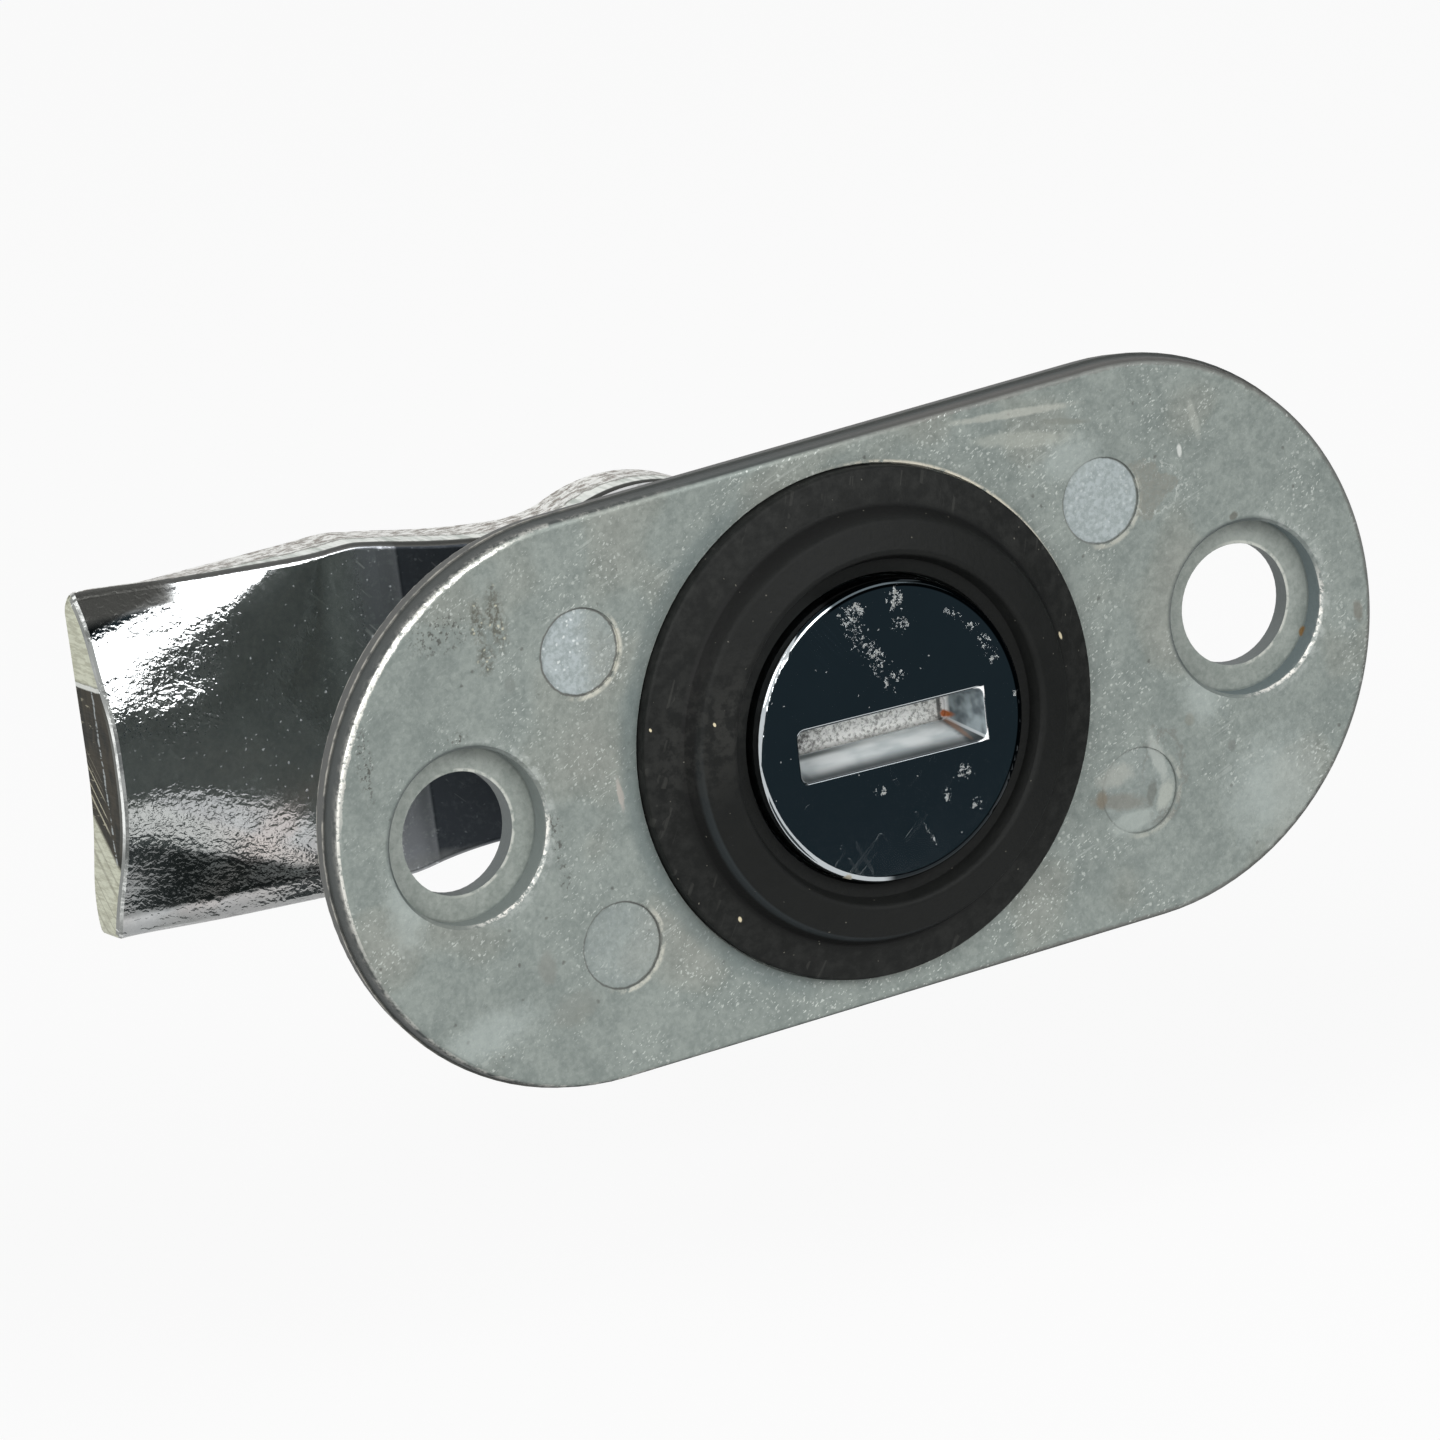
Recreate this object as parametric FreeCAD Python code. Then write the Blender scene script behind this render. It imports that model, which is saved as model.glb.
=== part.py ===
import FreeCAD, Part
import math
import os

# Quarter turn latch with an oval flange plate and a joggled cam tongue.
# Millimetres. X runs along the plate, Z up across it, Y goes into the panel.
# All pieces are drawn with the driver axis on the Y axis and the front face
# of the plate at Y = 0, then moved so that the plate seats at Y = 0.

# Driver plug
HEAD_RADIUS = 9.5
HEAD_FRONT_Y = -3.5
HEAD_BACK_Y = 2.2
HEAD_ROUND = 0.40
HEAD_BACK_EDGE = 0.25
HEAD_CLEARANCE = 0.10
HEAD_SEAT_GAP = 0.10
STEM_RADIUS = 6.0
STEM_CLEARANCE = 0.08
SQUARE_SIDE = 8.0
SQUARE_SHORT = 0.4
SQUARE_EDGE = 0.3
SQUARE_ROOT = 1.0
TAPPED_CLEARANCE = 0.05
TAPPED_DEPTH = 11.0
TAPPED_MOUTH = 0.5
TAPPED_POINT = 1.6

# Driver slot, a drafted pocket turned a little out of line
SLOT_LENGTH = 13.4
SLOT_WIDTH = 3.3
SLOT_DEPTH = 3.5
SLOT_TAPER = 0.92
SLOT_CORNER = 0.55
SLOT_FLOOR_CORNER = 0.3
SLOT_MOUTH_ROUND = 0.18
SLOT_TURN = -2.2
SLOT_DROP = 0.3

# Boss round the driver, with the groove that keeps the rubber on
BOSS_WALL = 2.4
BOSS_HEIGHT = 1.60
BOSS_GROOVE_DEPTH = 0.6
BOSS_GROOVE_HEIGHT = 0.60

# Seal ring, widths outwards from the driver head
SEAL_LIP_CLEARANCE = 0.10
SEAL_LIP_FLARE = 0.15
SEAL_LIP_FALL = 0.10
SEAL_LIP_HEIGHT = 2.30
SEAL_LIP_WIDTH = 0.95
SEAL_CREST_RISE_WIDTH = 0.45
SEAL_CREST_HEIGHT = 3.40
SEAL_CONE_WIDTH = 2.10
SEAL_SHOULDER_HEIGHT = 2.75
SEAL_STEP_WIDTH = 0.65
SEAL_BAND_HEIGHT = 1.40
SEAL_BAND_WIDTH = 2.30
SEAL_EDGE_HEIGHT = 0.80
SEAL_EDGE_ROUND = 0.25
SEAL_BAND_ROUND = 0.35
SEAL_SHOULDER_ROUND = 0.50
SEAL_CREST_ROUND = 0.35
SEAL_RECESS_DEPTH = 0.30
SEAL_RECESS_CLEARANCE = 0.12

# Fixing holes
HOLE_SPACING = 56.5
HOLE_RADIUS = 3.85
COUNTERBORE_RADIUS = 5.5
COUNTERBORE_DEPTH = 1.5
COUNTERBORE_EDGE = 0.2

# Flange plate
PLATE_RIM = 1.80
PLATE_END_INBOARD = 8.6
PLATE_THICK = 2.7
PLATE_DRAFT_INSET = 0.10
PLATE_FRONT_ROUND = 0.45
PLATE_BACK_ROUND = 0.25
PARTING_Y = 1.40
PARTING_BEAD_WIDTH = 0.20
PARTING_BEAD_PROUD = 0.12

# Ejector pin marks on the front face
EJECTOR_X = 18.85
EJECTOR_Z = 9.4
EJECTOR_RADIUS = 2.73
EJECTOR_STEP = 0.12

# Rear barrel of the housing
BARREL_WALL = 1.4
BARREL_DRAFT = 0.2
BARREL_END_Y = 24.0
BARREL_FOOT_ROUND = 1.2
BARREL_END_CHAMFER = 0.4
SPRING_SEAT_DEPTH = 2.2
SPRING_SEAT_MARGIN = 0.3
STOP_SLOT_DEPTH = 2.8
STOP_SLOT_LAP = 0.4

# O-ring on the stem
ORING_SECTION = 1.5
ORING_CLEARANCE = 0.05
ORING_Y = 10.0
ORING_GROOVE_WIDTH = 2.0

# Wave spring
WAVE_INNER_MARGIN = 0.5
WAVE_WIDTH = 1.6
WAVE_THICK = 0.4
WAVE_COUNT = 3
WAVE_POINTS = 12
WAVE_END_GAP = 0.10

# Stop washer
STOP_OVERHANG = 0.1
STOP_THICK = 1.5
STOP_GAP = 0.5
STOP_EDGE = 0.2
STOP_TAB_ANGLE = 26.0
STOP_TAB_REACH = 2.3
STOP_TAB_THICK = 1.5
STOP_TAB_MIDDLE = 90.0
STOP_TRAVEL = 90.0
STOP_SLACK = 1.5
SQUARE_HOLE_CLEARANCE = 0.06

# Screw and washers
SCREW_RADIUS = 2.9
SCREW_LENGTH = 12.0
SCREW_POINT = 0.6
WASHER_RADIUS = 6.0
WASHER_HOLE_CLEARANCE = 0.3
WASHER_THICK = 1.6
WASHER_EDGE = 0.3
LOCK_RADIUS = 5.9
LOCK_HOLE_CLEARANCE = 0.2
LOCK_THICK = 1.6
LOCK_SPLIT = 0.8
LOCK_SPLIT_SLANT = 25.0
LOCK_SPLIT_TURN = -130.0
HEX_ACROSS_FLATS = 10.0
HEX_HEIGHT = 4.0
HEX_TURN = 12.0
HEX_FACE_RADIUS = 4.6
HEX_FACE_HEIGHT = 0.3
HEX_TOP_RADIUS = 4.7
HEX_TOP_SLOPE = 30.0

# Cam tongue, folded plate with a joggle and a crowned tip
CAM_THICK = 4.0
CAM_HUB_OVERHANG = 0.1
CAM_WAIST_INSET = 1.15
CAM_WAIST_LOW_INSET = 1.30
CAM_WAIST_X = -9.6
CAM_WAIST_HUB_X = -4.6
CAM_WAIST_ROUND = 6.0
CAM_JOGGLE = 4.0
CAM_JOGGLE_MARGIN = 1.4
CAM_JOGGLE_RUN = 7.4
CAM_BEND_ROUND = 3.0
CAM_SHOULDER_RUN = 2.6
CAM_SHOULDER_LOW_RUN = 0.6
CAM_FLAT_RUN = 4.4
CAM_TIP_LENGTH = 16.9
CAM_END_ROUND = 0.4
CAM_END_STEPS = (0.55, 0.85, 1.0)
CAM_CORNER_SHARE = 1.8
CAM_EDGE_ROUND = 0.45

# Values that follow from the ones above
HEAD_SEAT_Y = HEAD_BACK_Y + HEAD_SEAT_GAP
BORE_RADIUS = STEM_RADIUS + STEM_CLEARANCE
HEAD_BORE_RADIUS = HEAD_RADIUS + HEAD_CLEARANCE
BOSS_RADIUS = HEAD_BORE_RADIUS + BOSS_WALL
BOSS_GROOVE_RADIUS = BOSS_RADIUS - BOSS_GROOVE_DEPTH
SEAL_LIP_RADIUS = HEAD_RADIUS + SEAL_LIP_CLEARANCE
SEAL_INNER_RADIUS = SEAL_LIP_RADIUS + SEAL_LIP_WIDTH
SEAL_CREST_RADIUS = SEAL_INNER_RADIUS + SEAL_CREST_RISE_WIDTH
SEAL_SHOULDER_RADIUS = SEAL_CREST_RADIUS + SEAL_CONE_WIDTH
SEAL_BAND_RADIUS = SEAL_SHOULDER_RADIUS + SEAL_STEP_WIDTH
SEAL_RADIUS = SEAL_BAND_RADIUS + SEAL_BAND_WIDTH
PLATE_HALF_WIDTH = SEAL_RADIUS + PLATE_RIM
PLATE_END_CENTRE = HOLE_SPACING / 2 - PLATE_END_INBOARD
BARREL_RADIUS = HEAD_BORE_RADIUS + BARREL_WALL
BARREL_END_RADIUS = BARREL_RADIUS - BARREL_DRAFT
ORING_OUTER_RADIUS = BORE_RADIUS - ORING_CLEARANCE
WAVE_INNER_RADIUS = STEM_RADIUS + WAVE_INNER_MARGIN
WAVE_OUTER_RADIUS = WAVE_INNER_RADIUS + WAVE_WIDTH
SPRING_SEAT_RADIUS = WAVE_OUTER_RADIUS + SPRING_SEAT_MARGIN
SPRING_SEAT_Y = BARREL_END_Y - SPRING_SEAT_DEPTH
STOP_SLOT_Y = BARREL_END_Y - STOP_SLOT_DEPTH
STOP_RADIUS = BARREL_END_RADIUS + STOP_OVERHANG
STOP_FRONT_Y = BARREL_END_Y + STOP_GAP
CAM_HUB_RADIUS = STOP_RADIUS + CAM_HUB_OVERHANG
CAM_HALF_WIDTH = CAM_HUB_RADIUS
CAM_WAIST = CAM_HALF_WIDTH - CAM_WAIST_INSET
CAM_WAIST_LOW = CAM_HALF_WIDTH - CAM_WAIST_LOW_INSET
CAM_FRONT_Y = STOP_FRONT_Y + STOP_THICK
CAM_BACK_Y = CAM_FRONT_Y + CAM_THICK
ARM_FRONT_Y = CAM_FRONT_Y + CAM_JOGGLE
ARM_BACK_Y = ARM_FRONT_Y + CAM_THICK
CAM_JOGGLE_START_X = -WASHER_RADIUS - CAM_JOGGLE_MARGIN
CAM_JOGGLE_END_X = CAM_JOGGLE_START_X - CAM_JOGGLE_RUN
CAM_SHOULDER_X = CAM_JOGGLE_END_X - CAM_SHOULDER_RUN
CAM_SHOULDER_LOW_X = CAM_JOGGLE_END_X - CAM_SHOULDER_LOW_RUN
CAM_ARM_X = CAM_JOGGLE_END_X - CAM_FLAT_RUN
CAM_TIP_X = CAM_ARM_X - CAM_TIP_LENGTH
SQUARE_END_Y = CAM_BACK_Y - SQUARE_SHORT
SQUARE_HOLE_SIDE = SQUARE_SIDE + 2 * SQUARE_HOLE_CLEARANCE
TAPPED_RADIUS = SCREW_RADIUS + TAPPED_CLEARANCE
WASHER_HOLE_RADIUS = SCREW_RADIUS + WASHER_HOLE_CLEARANCE
WASHER_BACK_Y = CAM_BACK_Y + WASHER_THICK
LOCK_HOLE_RADIUS = SCREW_RADIUS + LOCK_HOLE_CLEARANCE
LOCK_BACK_Y = WASHER_BACK_Y + LOCK_THICK

V = FreeCAD.Vector
ORIGIN = V(0, 0, 0)
AXIS_Y = V(0, 1, 0)
NEAR = 0.01
PAST = 1.0
FACES_FRONT = 0.5
FACES_SIDE = 0.3


def turned(points):
    """Solid of revolution about Y from (radius, y) corners."""
    loop = [V(r, y, 0) for r, y in points]
    face = Part.Face(Part.makePolygon(loop + [loop[0]]))
    return face.revolve(ORIGIN, AXIS_Y, 360)


def disc(radius, y0, y1, x=0.0, z=0.0):
    return Part.makeCylinder(radius, y1 - y0, V(x, y0, z), AXIS_Y)


def square_bar(side, y0, y1):
    return Part.makeBox(side, y1 - y0, side, V(-side / 2, y0, -side / 2))


def circle_edges(shape, radius, y, x=0.0):
    """Full or part circles of that radius about the Y line through x."""
    found = []
    for edge in shape.Edges:
        if edge.Curve.TypeId != "Part::GeomCircle":
            continue
        centre = edge.Curve.Center
        on_axis = abs(centre.x - x) < NEAR and abs(centre.z) < NEAR
        if on_axis and abs(centre.y - y) < NEAR and abs(edge.Curve.Radius - radius) < NEAR:
            found.append(edge)
    return found


def edges_at(shape, y):
    """Edges that lie wholly in the plane Y = y."""
    found = []
    for edge in shape.Edges:
        box = edge.BoundBox
        if abs(box.YMin - y) < NEAR and abs(box.YMax - y) < NEAR:
            found.append(edge)
    return found


def stadium(half_width, y):
    """Closed wire of the plate outline at height y."""
    a = PLATE_END_CENTRE
    r = half_width
    top = Part.LineSegment(V(a, y, r), V(-a, y, r)).toShape()
    left = Part.Arc(V(-a, y, r), V(-a - r, y, 0), V(-a, y, -r)).toShape()
    low = Part.LineSegment(V(-a, y, -r), V(a, y, -r)).toShape()
    right = Part.Arc(V(a, y, -r), V(a + r, y, 0), V(a, y, r)).toShape()
    return Part.Wire([top, left, low, right])


def plate():
    inset = PLATE_HALF_WIDTH - PLATE_DRAFT_INSET
    front = Part.makeLoft([stadium(inset, 0), stadium(PLATE_HALF_WIDTH, PARTING_Y)], True, True)
    back = Part.makeLoft([stadium(PLATE_HALF_WIDTH, PARTING_Y), stadium(inset, PLATE_THICK)], True, True)
    front = front.makeFillet(PLATE_FRONT_ROUND, edges_at(front, 0))
    back = back.makeFillet(PLATE_BACK_ROUND, edges_at(back, PLATE_THICK))
    start = PARTING_Y - PARTING_BEAD_WIDTH / 2
    bead = Part.Face(stadium(PLATE_HALF_WIDTH + PARTING_BEAD_PROUD, start))
    bead = bead.extrude(V(0, PARTING_BEAD_WIDTH, 0))
    return front.fuse([back, bead])


def sector(radius, y0, y1, start, sweep):
    """Wedge about Y from the angle start, measured from X towards Z."""
    a = math.radians(start)
    b = math.radians(start + sweep / 2)
    c = math.radians(start + sweep)
    p = V(radius * math.cos(a), y0, radius * math.sin(a))
    q = V(radius * math.cos(b), y0, radius * math.sin(b))
    r = V(radius * math.cos(c), y0, radius * math.sin(c))
    tip = V(0, y0, 0)
    edges = [Part.makeLine(tip, p), Part.Arc(p, q, r).toShape(), Part.makeLine(r, tip)]
    return Part.Face(Part.Wire(edges)).extrude(V(0, y1 - y0, 0))


def barrel():
    """Tapered barrel behind the plate, rounded into it at the foot."""
    tube = Part.makeCone(BARREL_RADIUS, BARREL_END_RADIUS, BARREL_END_Y - PLATE_THICK,
                         V(0, PLATE_THICK, 0), AXIS_Y)
    return tube.makeChamfer(BARREL_END_CHAMFER, circle_edges(tube, BARREL_END_RADIUS, BARREL_END_Y))


def stop_slot():
    """Room for the stop washer's tab over the whole turn."""
    start = STOP_TAB_MIDDLE - STOP_TAB_ANGLE / 2 - STOP_SLACK
    sweep = STOP_TRAVEL + STOP_TAB_ANGLE + 2 * STOP_SLACK
    slot = sector(BARREL_RADIUS + PAST, STOP_SLOT_Y, BARREL_END_Y + PAST, start, sweep)
    return slot.cut(disc(SPRING_SEAT_RADIUS - STOP_SLOT_LAP, STOP_SLOT_Y - PAST, BARREL_END_Y + 2 * PAST))


def housing():
    recess = disc(SEAL_RADIUS + SEAL_RECESS_CLEARANCE, -PAST, SEAL_RECESS_DEPTH)
    body = plate().fuse(barrel()).removeSplitter()
    body = body.makeFillet(BARREL_FOOT_ROUND, circle_edges(body, BARREL_RADIUS, PLATE_THICK))
    neck = disc(BOSS_GROOVE_RADIUS, -BOSS_GROOVE_HEIGHT, SEAL_RECESS_DEPTH)
    boss = disc(BOSS_RADIUS, -BOSS_HEIGHT, -BOSS_GROOVE_HEIGHT)
    body = body.cut(recess).fuse([neck, boss]).removeSplitter()
    cuts = [disc(HEAD_BORE_RADIUS, -BOSS_HEIGHT - PAST, HEAD_SEAT_Y)]
    cuts.append(disc(BORE_RADIUS, 0, BARREL_END_Y))
    cuts.append(disc(SPRING_SEAT_RADIUS, SPRING_SEAT_Y, BARREL_END_Y + PAST))
    cuts.append(stop_slot())
    for side in (-1, 1):
        x = side * HOLE_SPACING / 2
        cuts.append(disc(HOLE_RADIUS, -PAST, PLATE_THICK + PAST, x))
        cuts.append(disc(COUNTERBORE_RADIUS, -PAST, COUNTERBORE_DEPTH, x))
        for up in (-1, 1):
            cuts.append(disc(EJECTOR_RADIUS, -PAST, EJECTOR_STEP, side * EJECTOR_X, up * EJECTOR_Z))
    body = body.cut(cuts).removeSplitter()
    rims = []
    for side in (-1, 1):
        rims += circle_edges(body, COUNTERBORE_RADIUS, 0, side * HOLE_SPACING / 2)
    return body.makeChamfer(COUNTERBORE_EDGE, rims)


def seal_ring():
    floor = SEAL_RECESS_DEPTH
    ring = turned([
        (SEAL_RADIUS, floor),
        (SEAL_RADIUS, -SEAL_EDGE_HEIGHT),
        (SEAL_BAND_RADIUS, -SEAL_BAND_HEIGHT),
        (SEAL_SHOULDER_RADIUS, -SEAL_SHOULDER_HEIGHT),
        (SEAL_CREST_RADIUS, -SEAL_CREST_HEIGHT),
        (SEAL_INNER_RADIUS, -SEAL_LIP_HEIGHT - SEAL_LIP_FALL),
        (SEAL_LIP_RADIUS + SEAL_LIP_FLARE, -SEAL_LIP_HEIGHT),
        (SEAL_LIP_RADIUS, -BOSS_HEIGHT),
        (BOSS_RADIUS, -BOSS_HEIGHT),
        (BOSS_RADIUS, -BOSS_GROOVE_HEIGHT),
        (BOSS_GROOVE_RADIUS, -BOSS_GROOVE_HEIGHT),
        (BOSS_GROOVE_RADIUS, floor),
    ])
    rounds = [
        (SEAL_EDGE_ROUND, SEAL_RADIUS, SEAL_EDGE_HEIGHT),
        (SEAL_BAND_ROUND, SEAL_BAND_RADIUS, SEAL_BAND_HEIGHT),
        (SEAL_SHOULDER_ROUND, SEAL_SHOULDER_RADIUS, SEAL_SHOULDER_HEIGHT),
        (SEAL_CREST_ROUND, SEAL_CREST_RADIUS, SEAL_CREST_HEIGHT),
    ]
    for round_radius, radius, height in rounds:
        ring = ring.makeFillet(round_radius, circle_edges(ring, radius, -height))
    return ring


def rounded_rectangle(length, width, corner, y):
    """Closed wire centred on the axis in the plane Y = y."""
    a = length / 2
    b = width / 2
    c = corner
    k = c * (1 - math.sqrt(0.5))
    edges = [
        Part.makeLine(V(-a + c, y, b), V(a - c, y, b)),
        Part.Arc(V(a - c, y, b), V(a - k, y, b - k), V(a, y, b - c)).toShape(),
        Part.makeLine(V(a, y, b - c), V(a, y, -b + c)),
        Part.Arc(V(a, y, -b + c), V(a - k, y, -b + k), V(a - c, y, -b)).toShape(),
        Part.makeLine(V(a - c, y, -b), V(-a + c, y, -b)),
        Part.Arc(V(-a + c, y, -b), V(-a + k, y, -b + k), V(-a, y, -b + c)).toShape(),
        Part.makeLine(V(-a, y, -b + c), V(-a, y, b - c)),
        Part.Arc(V(-a, y, b - c), V(-a + k, y, b - k), V(-a + c, y, b)).toShape(),
    ]
    return Part.Wire(edges)


def slot_pocket():
    """The tapered pocket of the driver, drawn on past the face."""
    grow = SLOT_TAPER * PAST / SLOT_DEPTH
    mouth = rounded_rectangle(SLOT_LENGTH + 2 * grow, SLOT_WIDTH + 2 * grow,
                              SLOT_CORNER, HEAD_FRONT_Y - PAST)
    floor = rounded_rectangle(SLOT_LENGTH - 2 * SLOT_TAPER, SLOT_WIDTH - 2 * SLOT_TAPER,
                              SLOT_FLOOR_CORNER, HEAD_FRONT_Y + SLOT_DEPTH)
    pocket = Part.makeLoft([mouth, floor], True, True)
    pocket.rotate(ORIGIN, V(0, -1, 0), SLOT_TURN)
    pocket.translate(V(0, 0, -SLOT_DROP))
    return pocket


def turned_plug():
    """Head and stem, with the groove for the O-ring."""
    groove = ORING_OUTER_RADIUS - ORING_SECTION
    g0 = ORING_Y - ORING_GROOVE_WIDTH / 2
    g1 = ORING_Y + ORING_GROOVE_WIDTH / 2
    plug = turned([
        (0, HEAD_FRONT_Y), (HEAD_RADIUS, HEAD_FRONT_Y), (HEAD_RADIUS, HEAD_BACK_Y),
        (STEM_RADIUS, HEAD_BACK_Y), (STEM_RADIUS, g0), (groove, g0), (groove, g1),
        (STEM_RADIUS, g1), (STEM_RADIUS, STOP_FRONT_Y), (0, STOP_FRONT_Y),
    ])
    plug = plug.makeFillet(HEAD_ROUND, circle_edges(plug, HEAD_RADIUS, HEAD_FRONT_Y))
    return plug.makeChamfer(HEAD_BACK_EDGE, circle_edges(plug, HEAD_RADIUS, HEAD_BACK_Y))


def driver_plug():
    start = STOP_FRONT_Y - SQUARE_ROOT
    tail = square_bar(SQUARE_SIDE, start, SQUARE_END_Y)
    tail = tail.common(disc(SQUARE_SIDE / 2 * math.sqrt(2) - SQUARE_EDGE, start, SQUARE_END_Y))
    plug = turned_plug().cut(slot_pocket())
    mouth = []
    for edge in edges_at(plug, HEAD_FRONT_Y):
        if not circle_edges(edge, HEAD_RADIUS - HEAD_ROUND, HEAD_FRONT_Y):
            mouth.append(edge)
    plug = plug.makeFillet(SLOT_MOUTH_ROUND, mouth).fuse(tail)
    end = SQUARE_END_Y
    tapped = disc(TAPPED_RADIUS, end - TAPPED_DEPTH, end + PAST)
    flare = Part.makeCone(TAPPED_RADIUS, TAPPED_RADIUS + TAPPED_MOUTH, TAPPED_MOUTH,
                          V(0, end - TAPPED_MOUTH, 0), AXIS_Y)
    point = Part.makeCone(0, TAPPED_RADIUS, TAPPED_POINT, V(0, end - TAPPED_DEPTH - TAPPED_POINT, 0), AXIS_Y)
    return plug.cut([tapped, flare, point]).removeSplitter()


def stem_oring():
    section = ORING_SECTION / 2
    return Part.makeTorus(ORING_OUTER_RADIUS - section, section, V(0, ORING_Y, 0), AXIS_Y)


def wave_ring_edge(radius, middle, height):
    points = []
    count = WAVE_POINTS * WAVE_COUNT
    for i in range(count):
        a = 2 * math.pi * i / count
        y = middle + height * math.cos(WAVE_COUNT * a)
        points.append(V(radius * math.cos(a), y, radius * math.sin(a)))
    curve = Part.BSplineCurve()
    curve.interpolate(points, PeriodicFlag=True)
    return curve.toShape()


def wave_spring():
    low = SPRING_SEAT_Y
    high = STOP_FRONT_Y - WAVE_END_GAP - WAVE_THICK
    middle = (low + high) / 2
    height = (high - low) / 2
    inner = wave_ring_edge(WAVE_INNER_RADIUS, middle, height)
    outer = wave_ring_edge(WAVE_OUTER_RADIUS, middle, height)
    return Part.makeRuledSurface(inner, outer).extrude(V(0, WAVE_THICK, 0))


def stop_washer():
    back = STOP_FRONT_Y + STOP_THICK
    washer = disc(STOP_RADIUS, STOP_FRONT_Y, back)
    start = STOP_TAB_MIDDLE - STOP_TAB_ANGLE / 2
    tab_y = STOP_FRONT_Y - STOP_TAB_REACH
    tab = sector(STOP_RADIUS, tab_y, back, start, STOP_TAB_ANGLE)
    tab = tab.cut(disc(STOP_RADIUS - STOP_TAB_THICK, tab_y - PAST, back))
    hole = square_bar(SQUARE_HOLE_SIDE, STOP_FRONT_Y - PAST, back + PAST)
    washer = washer.fuse(tab).removeSplitter().cut(hole)
    return washer.makeChamfer(STOP_EDGE, circle_edges(washer, STOP_RADIUS, back))


def front_rim(shape):
    """Front edges of the sheet's cut wall, but for the joint of arm and tip."""
    found = []
    for edge in shape.Edges:
        box = edge.BoundBox
        if box.XLength < NEAR and abs(box.XMin - CAM_ARM_X) < NEAR:
            continue
        point = edge.valueAt((edge.FirstParameter + edge.LastParameter) / 2)
        looks = []
        for face in shape.ancestorsOfType(edge, Part.Face):
            u, v = face.Surface.parameter(point)
            looks.append(face.normalAt(u, v).y)
        if min(looks) < -FACES_FRONT and abs(max(looks)) < FACES_SIDE:
            found.append(edge)
    return found


def cam_side():
    """Side view of the folded strip from the hub to the arm."""
    x0 = CAM_HUB_RADIUS + PAST
    x1 = CAM_JOGGLE_START_X
    x2 = CAM_JOGGLE_END_X
    angle = math.atan2(CAM_JOGGLE, x1 - x2)
    shift = CAM_THICK * math.tan(angle / 2)
    points = [V(x0, CAM_FRONT_Y, 0), V(x1 - shift / 2, CAM_FRONT_Y, 0), V(x2 - shift / 2, ARM_FRONT_Y, 0),
              V(CAM_ARM_X, ARM_FRONT_Y, 0), V(CAM_ARM_X, ARM_BACK_Y, 0), V(x2 + shift / 2, ARM_BACK_Y, 0),
              V(x1 + shift / 2, CAM_BACK_Y, 0), V(x0, CAM_BACK_Y, 0)]
    high = CAM_HALF_WIDTH + PAST
    strip = Part.Face(Part.makePolygon(points + [points[0]])).extrude(V(0, 0, 2 * high))
    strip.translate(V(0, 0, -high))
    bends = []
    for edge in strip.Edges:
        middle = edge.CenterOfMass
        if edge.BoundBox.ZLength > high and CAM_ARM_X + NEAR < middle.x < x0 - NEAR:
            bends.append(edge)
    return strip.makeFillet(CAM_BEND_ROUND, bends)


def cam_outline():
    """Front view of the hub, waist and start of the arm."""
    w = CAM_HALF_WIDTH
    hub_x = CAM_WAIST_HUB_X
    hub_z = math.sqrt(CAM_HUB_RADIUS ** 2 - hub_x ** 2)
    x = CAM_SHOULDER_X
    low_x = CAM_SHOULDER_LOW_X
    y = CAM_FRONT_Y - PAST
    edges = [
        Part.makeLine(V(CAM_ARM_X, y, w), V(x, y, w)),
        Part.Arc(V(x, y, w), V(CAM_WAIST_X, y, CAM_WAIST), V(hub_x, y, hub_z)).toShape(),
        Part.Arc(V(hub_x, y, hub_z), V(CAM_HUB_RADIUS, y, 0), V(hub_x, y, -hub_z)).toShape(),
        Part.Arc(V(hub_x, y, -hub_z), V(CAM_WAIST_X, y, -CAM_WAIST_LOW), V(low_x, y, -w)).toShape(),
        Part.makeLine(V(low_x, y, -w), V(CAM_ARM_X, y, -w)),
        Part.makeLine(V(CAM_ARM_X, y, -w), V(CAM_ARM_X, y, w)),
    ]
    block = Part.Face(Part.Wire(edges)).extrude(V(0, ARM_BACK_Y + PAST - y, 0))
    kinks = []
    for edge in block.Edges:
        box = edge.BoundBox
        at_kink = min(abs(box.XMin - kink) for kink in (hub_x, x, low_x)) < NEAR
        if at_kink and box.XLength < NEAR and box.YLength > PAST:
            kinks.append(edge)
    return block.makeFillet(CAM_WAIST_ROUND, kinks)


# Crown of the tip: at each station the front falls back by these depths
# at nine heights from the lower edge to the upper one, and the back by the
# second row. The lift rows say how far the metal has spread upwards there.
CROWN_HEIGHTS = (-1.0, -0.75, -0.5, -0.2, 0.1, 0.4, 0.6, 0.82, 1.0)
CROWN_FRONT = (3.40, 2.35, 1.15, 0.25, 0.0, 0.25, 1.05, 1.75, 2.90)
CROWN_BACK = (1.55, 1.50, 0.85, 0.20, 0.0, 0.0, 0.0, 0.0, 0.0)
CROWN_LIFT_FRONT = (0.25, 0.20, 0.10, 0.0, 0.0, 0.10, 0.25, 0.55, 0.90)
CROWN_LIFT_BACK = (0.25, 0.20, 0.10, 0.0, 0.0, 0.05, 0.10, 0.20, 0.30)
CROWN_STATIONS = ((0.00, 0.0), (0.06, 0.0), (0.26, 0.16), (0.57, 0.48), (0.84, 0.84), (1.00, 1.0))


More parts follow.
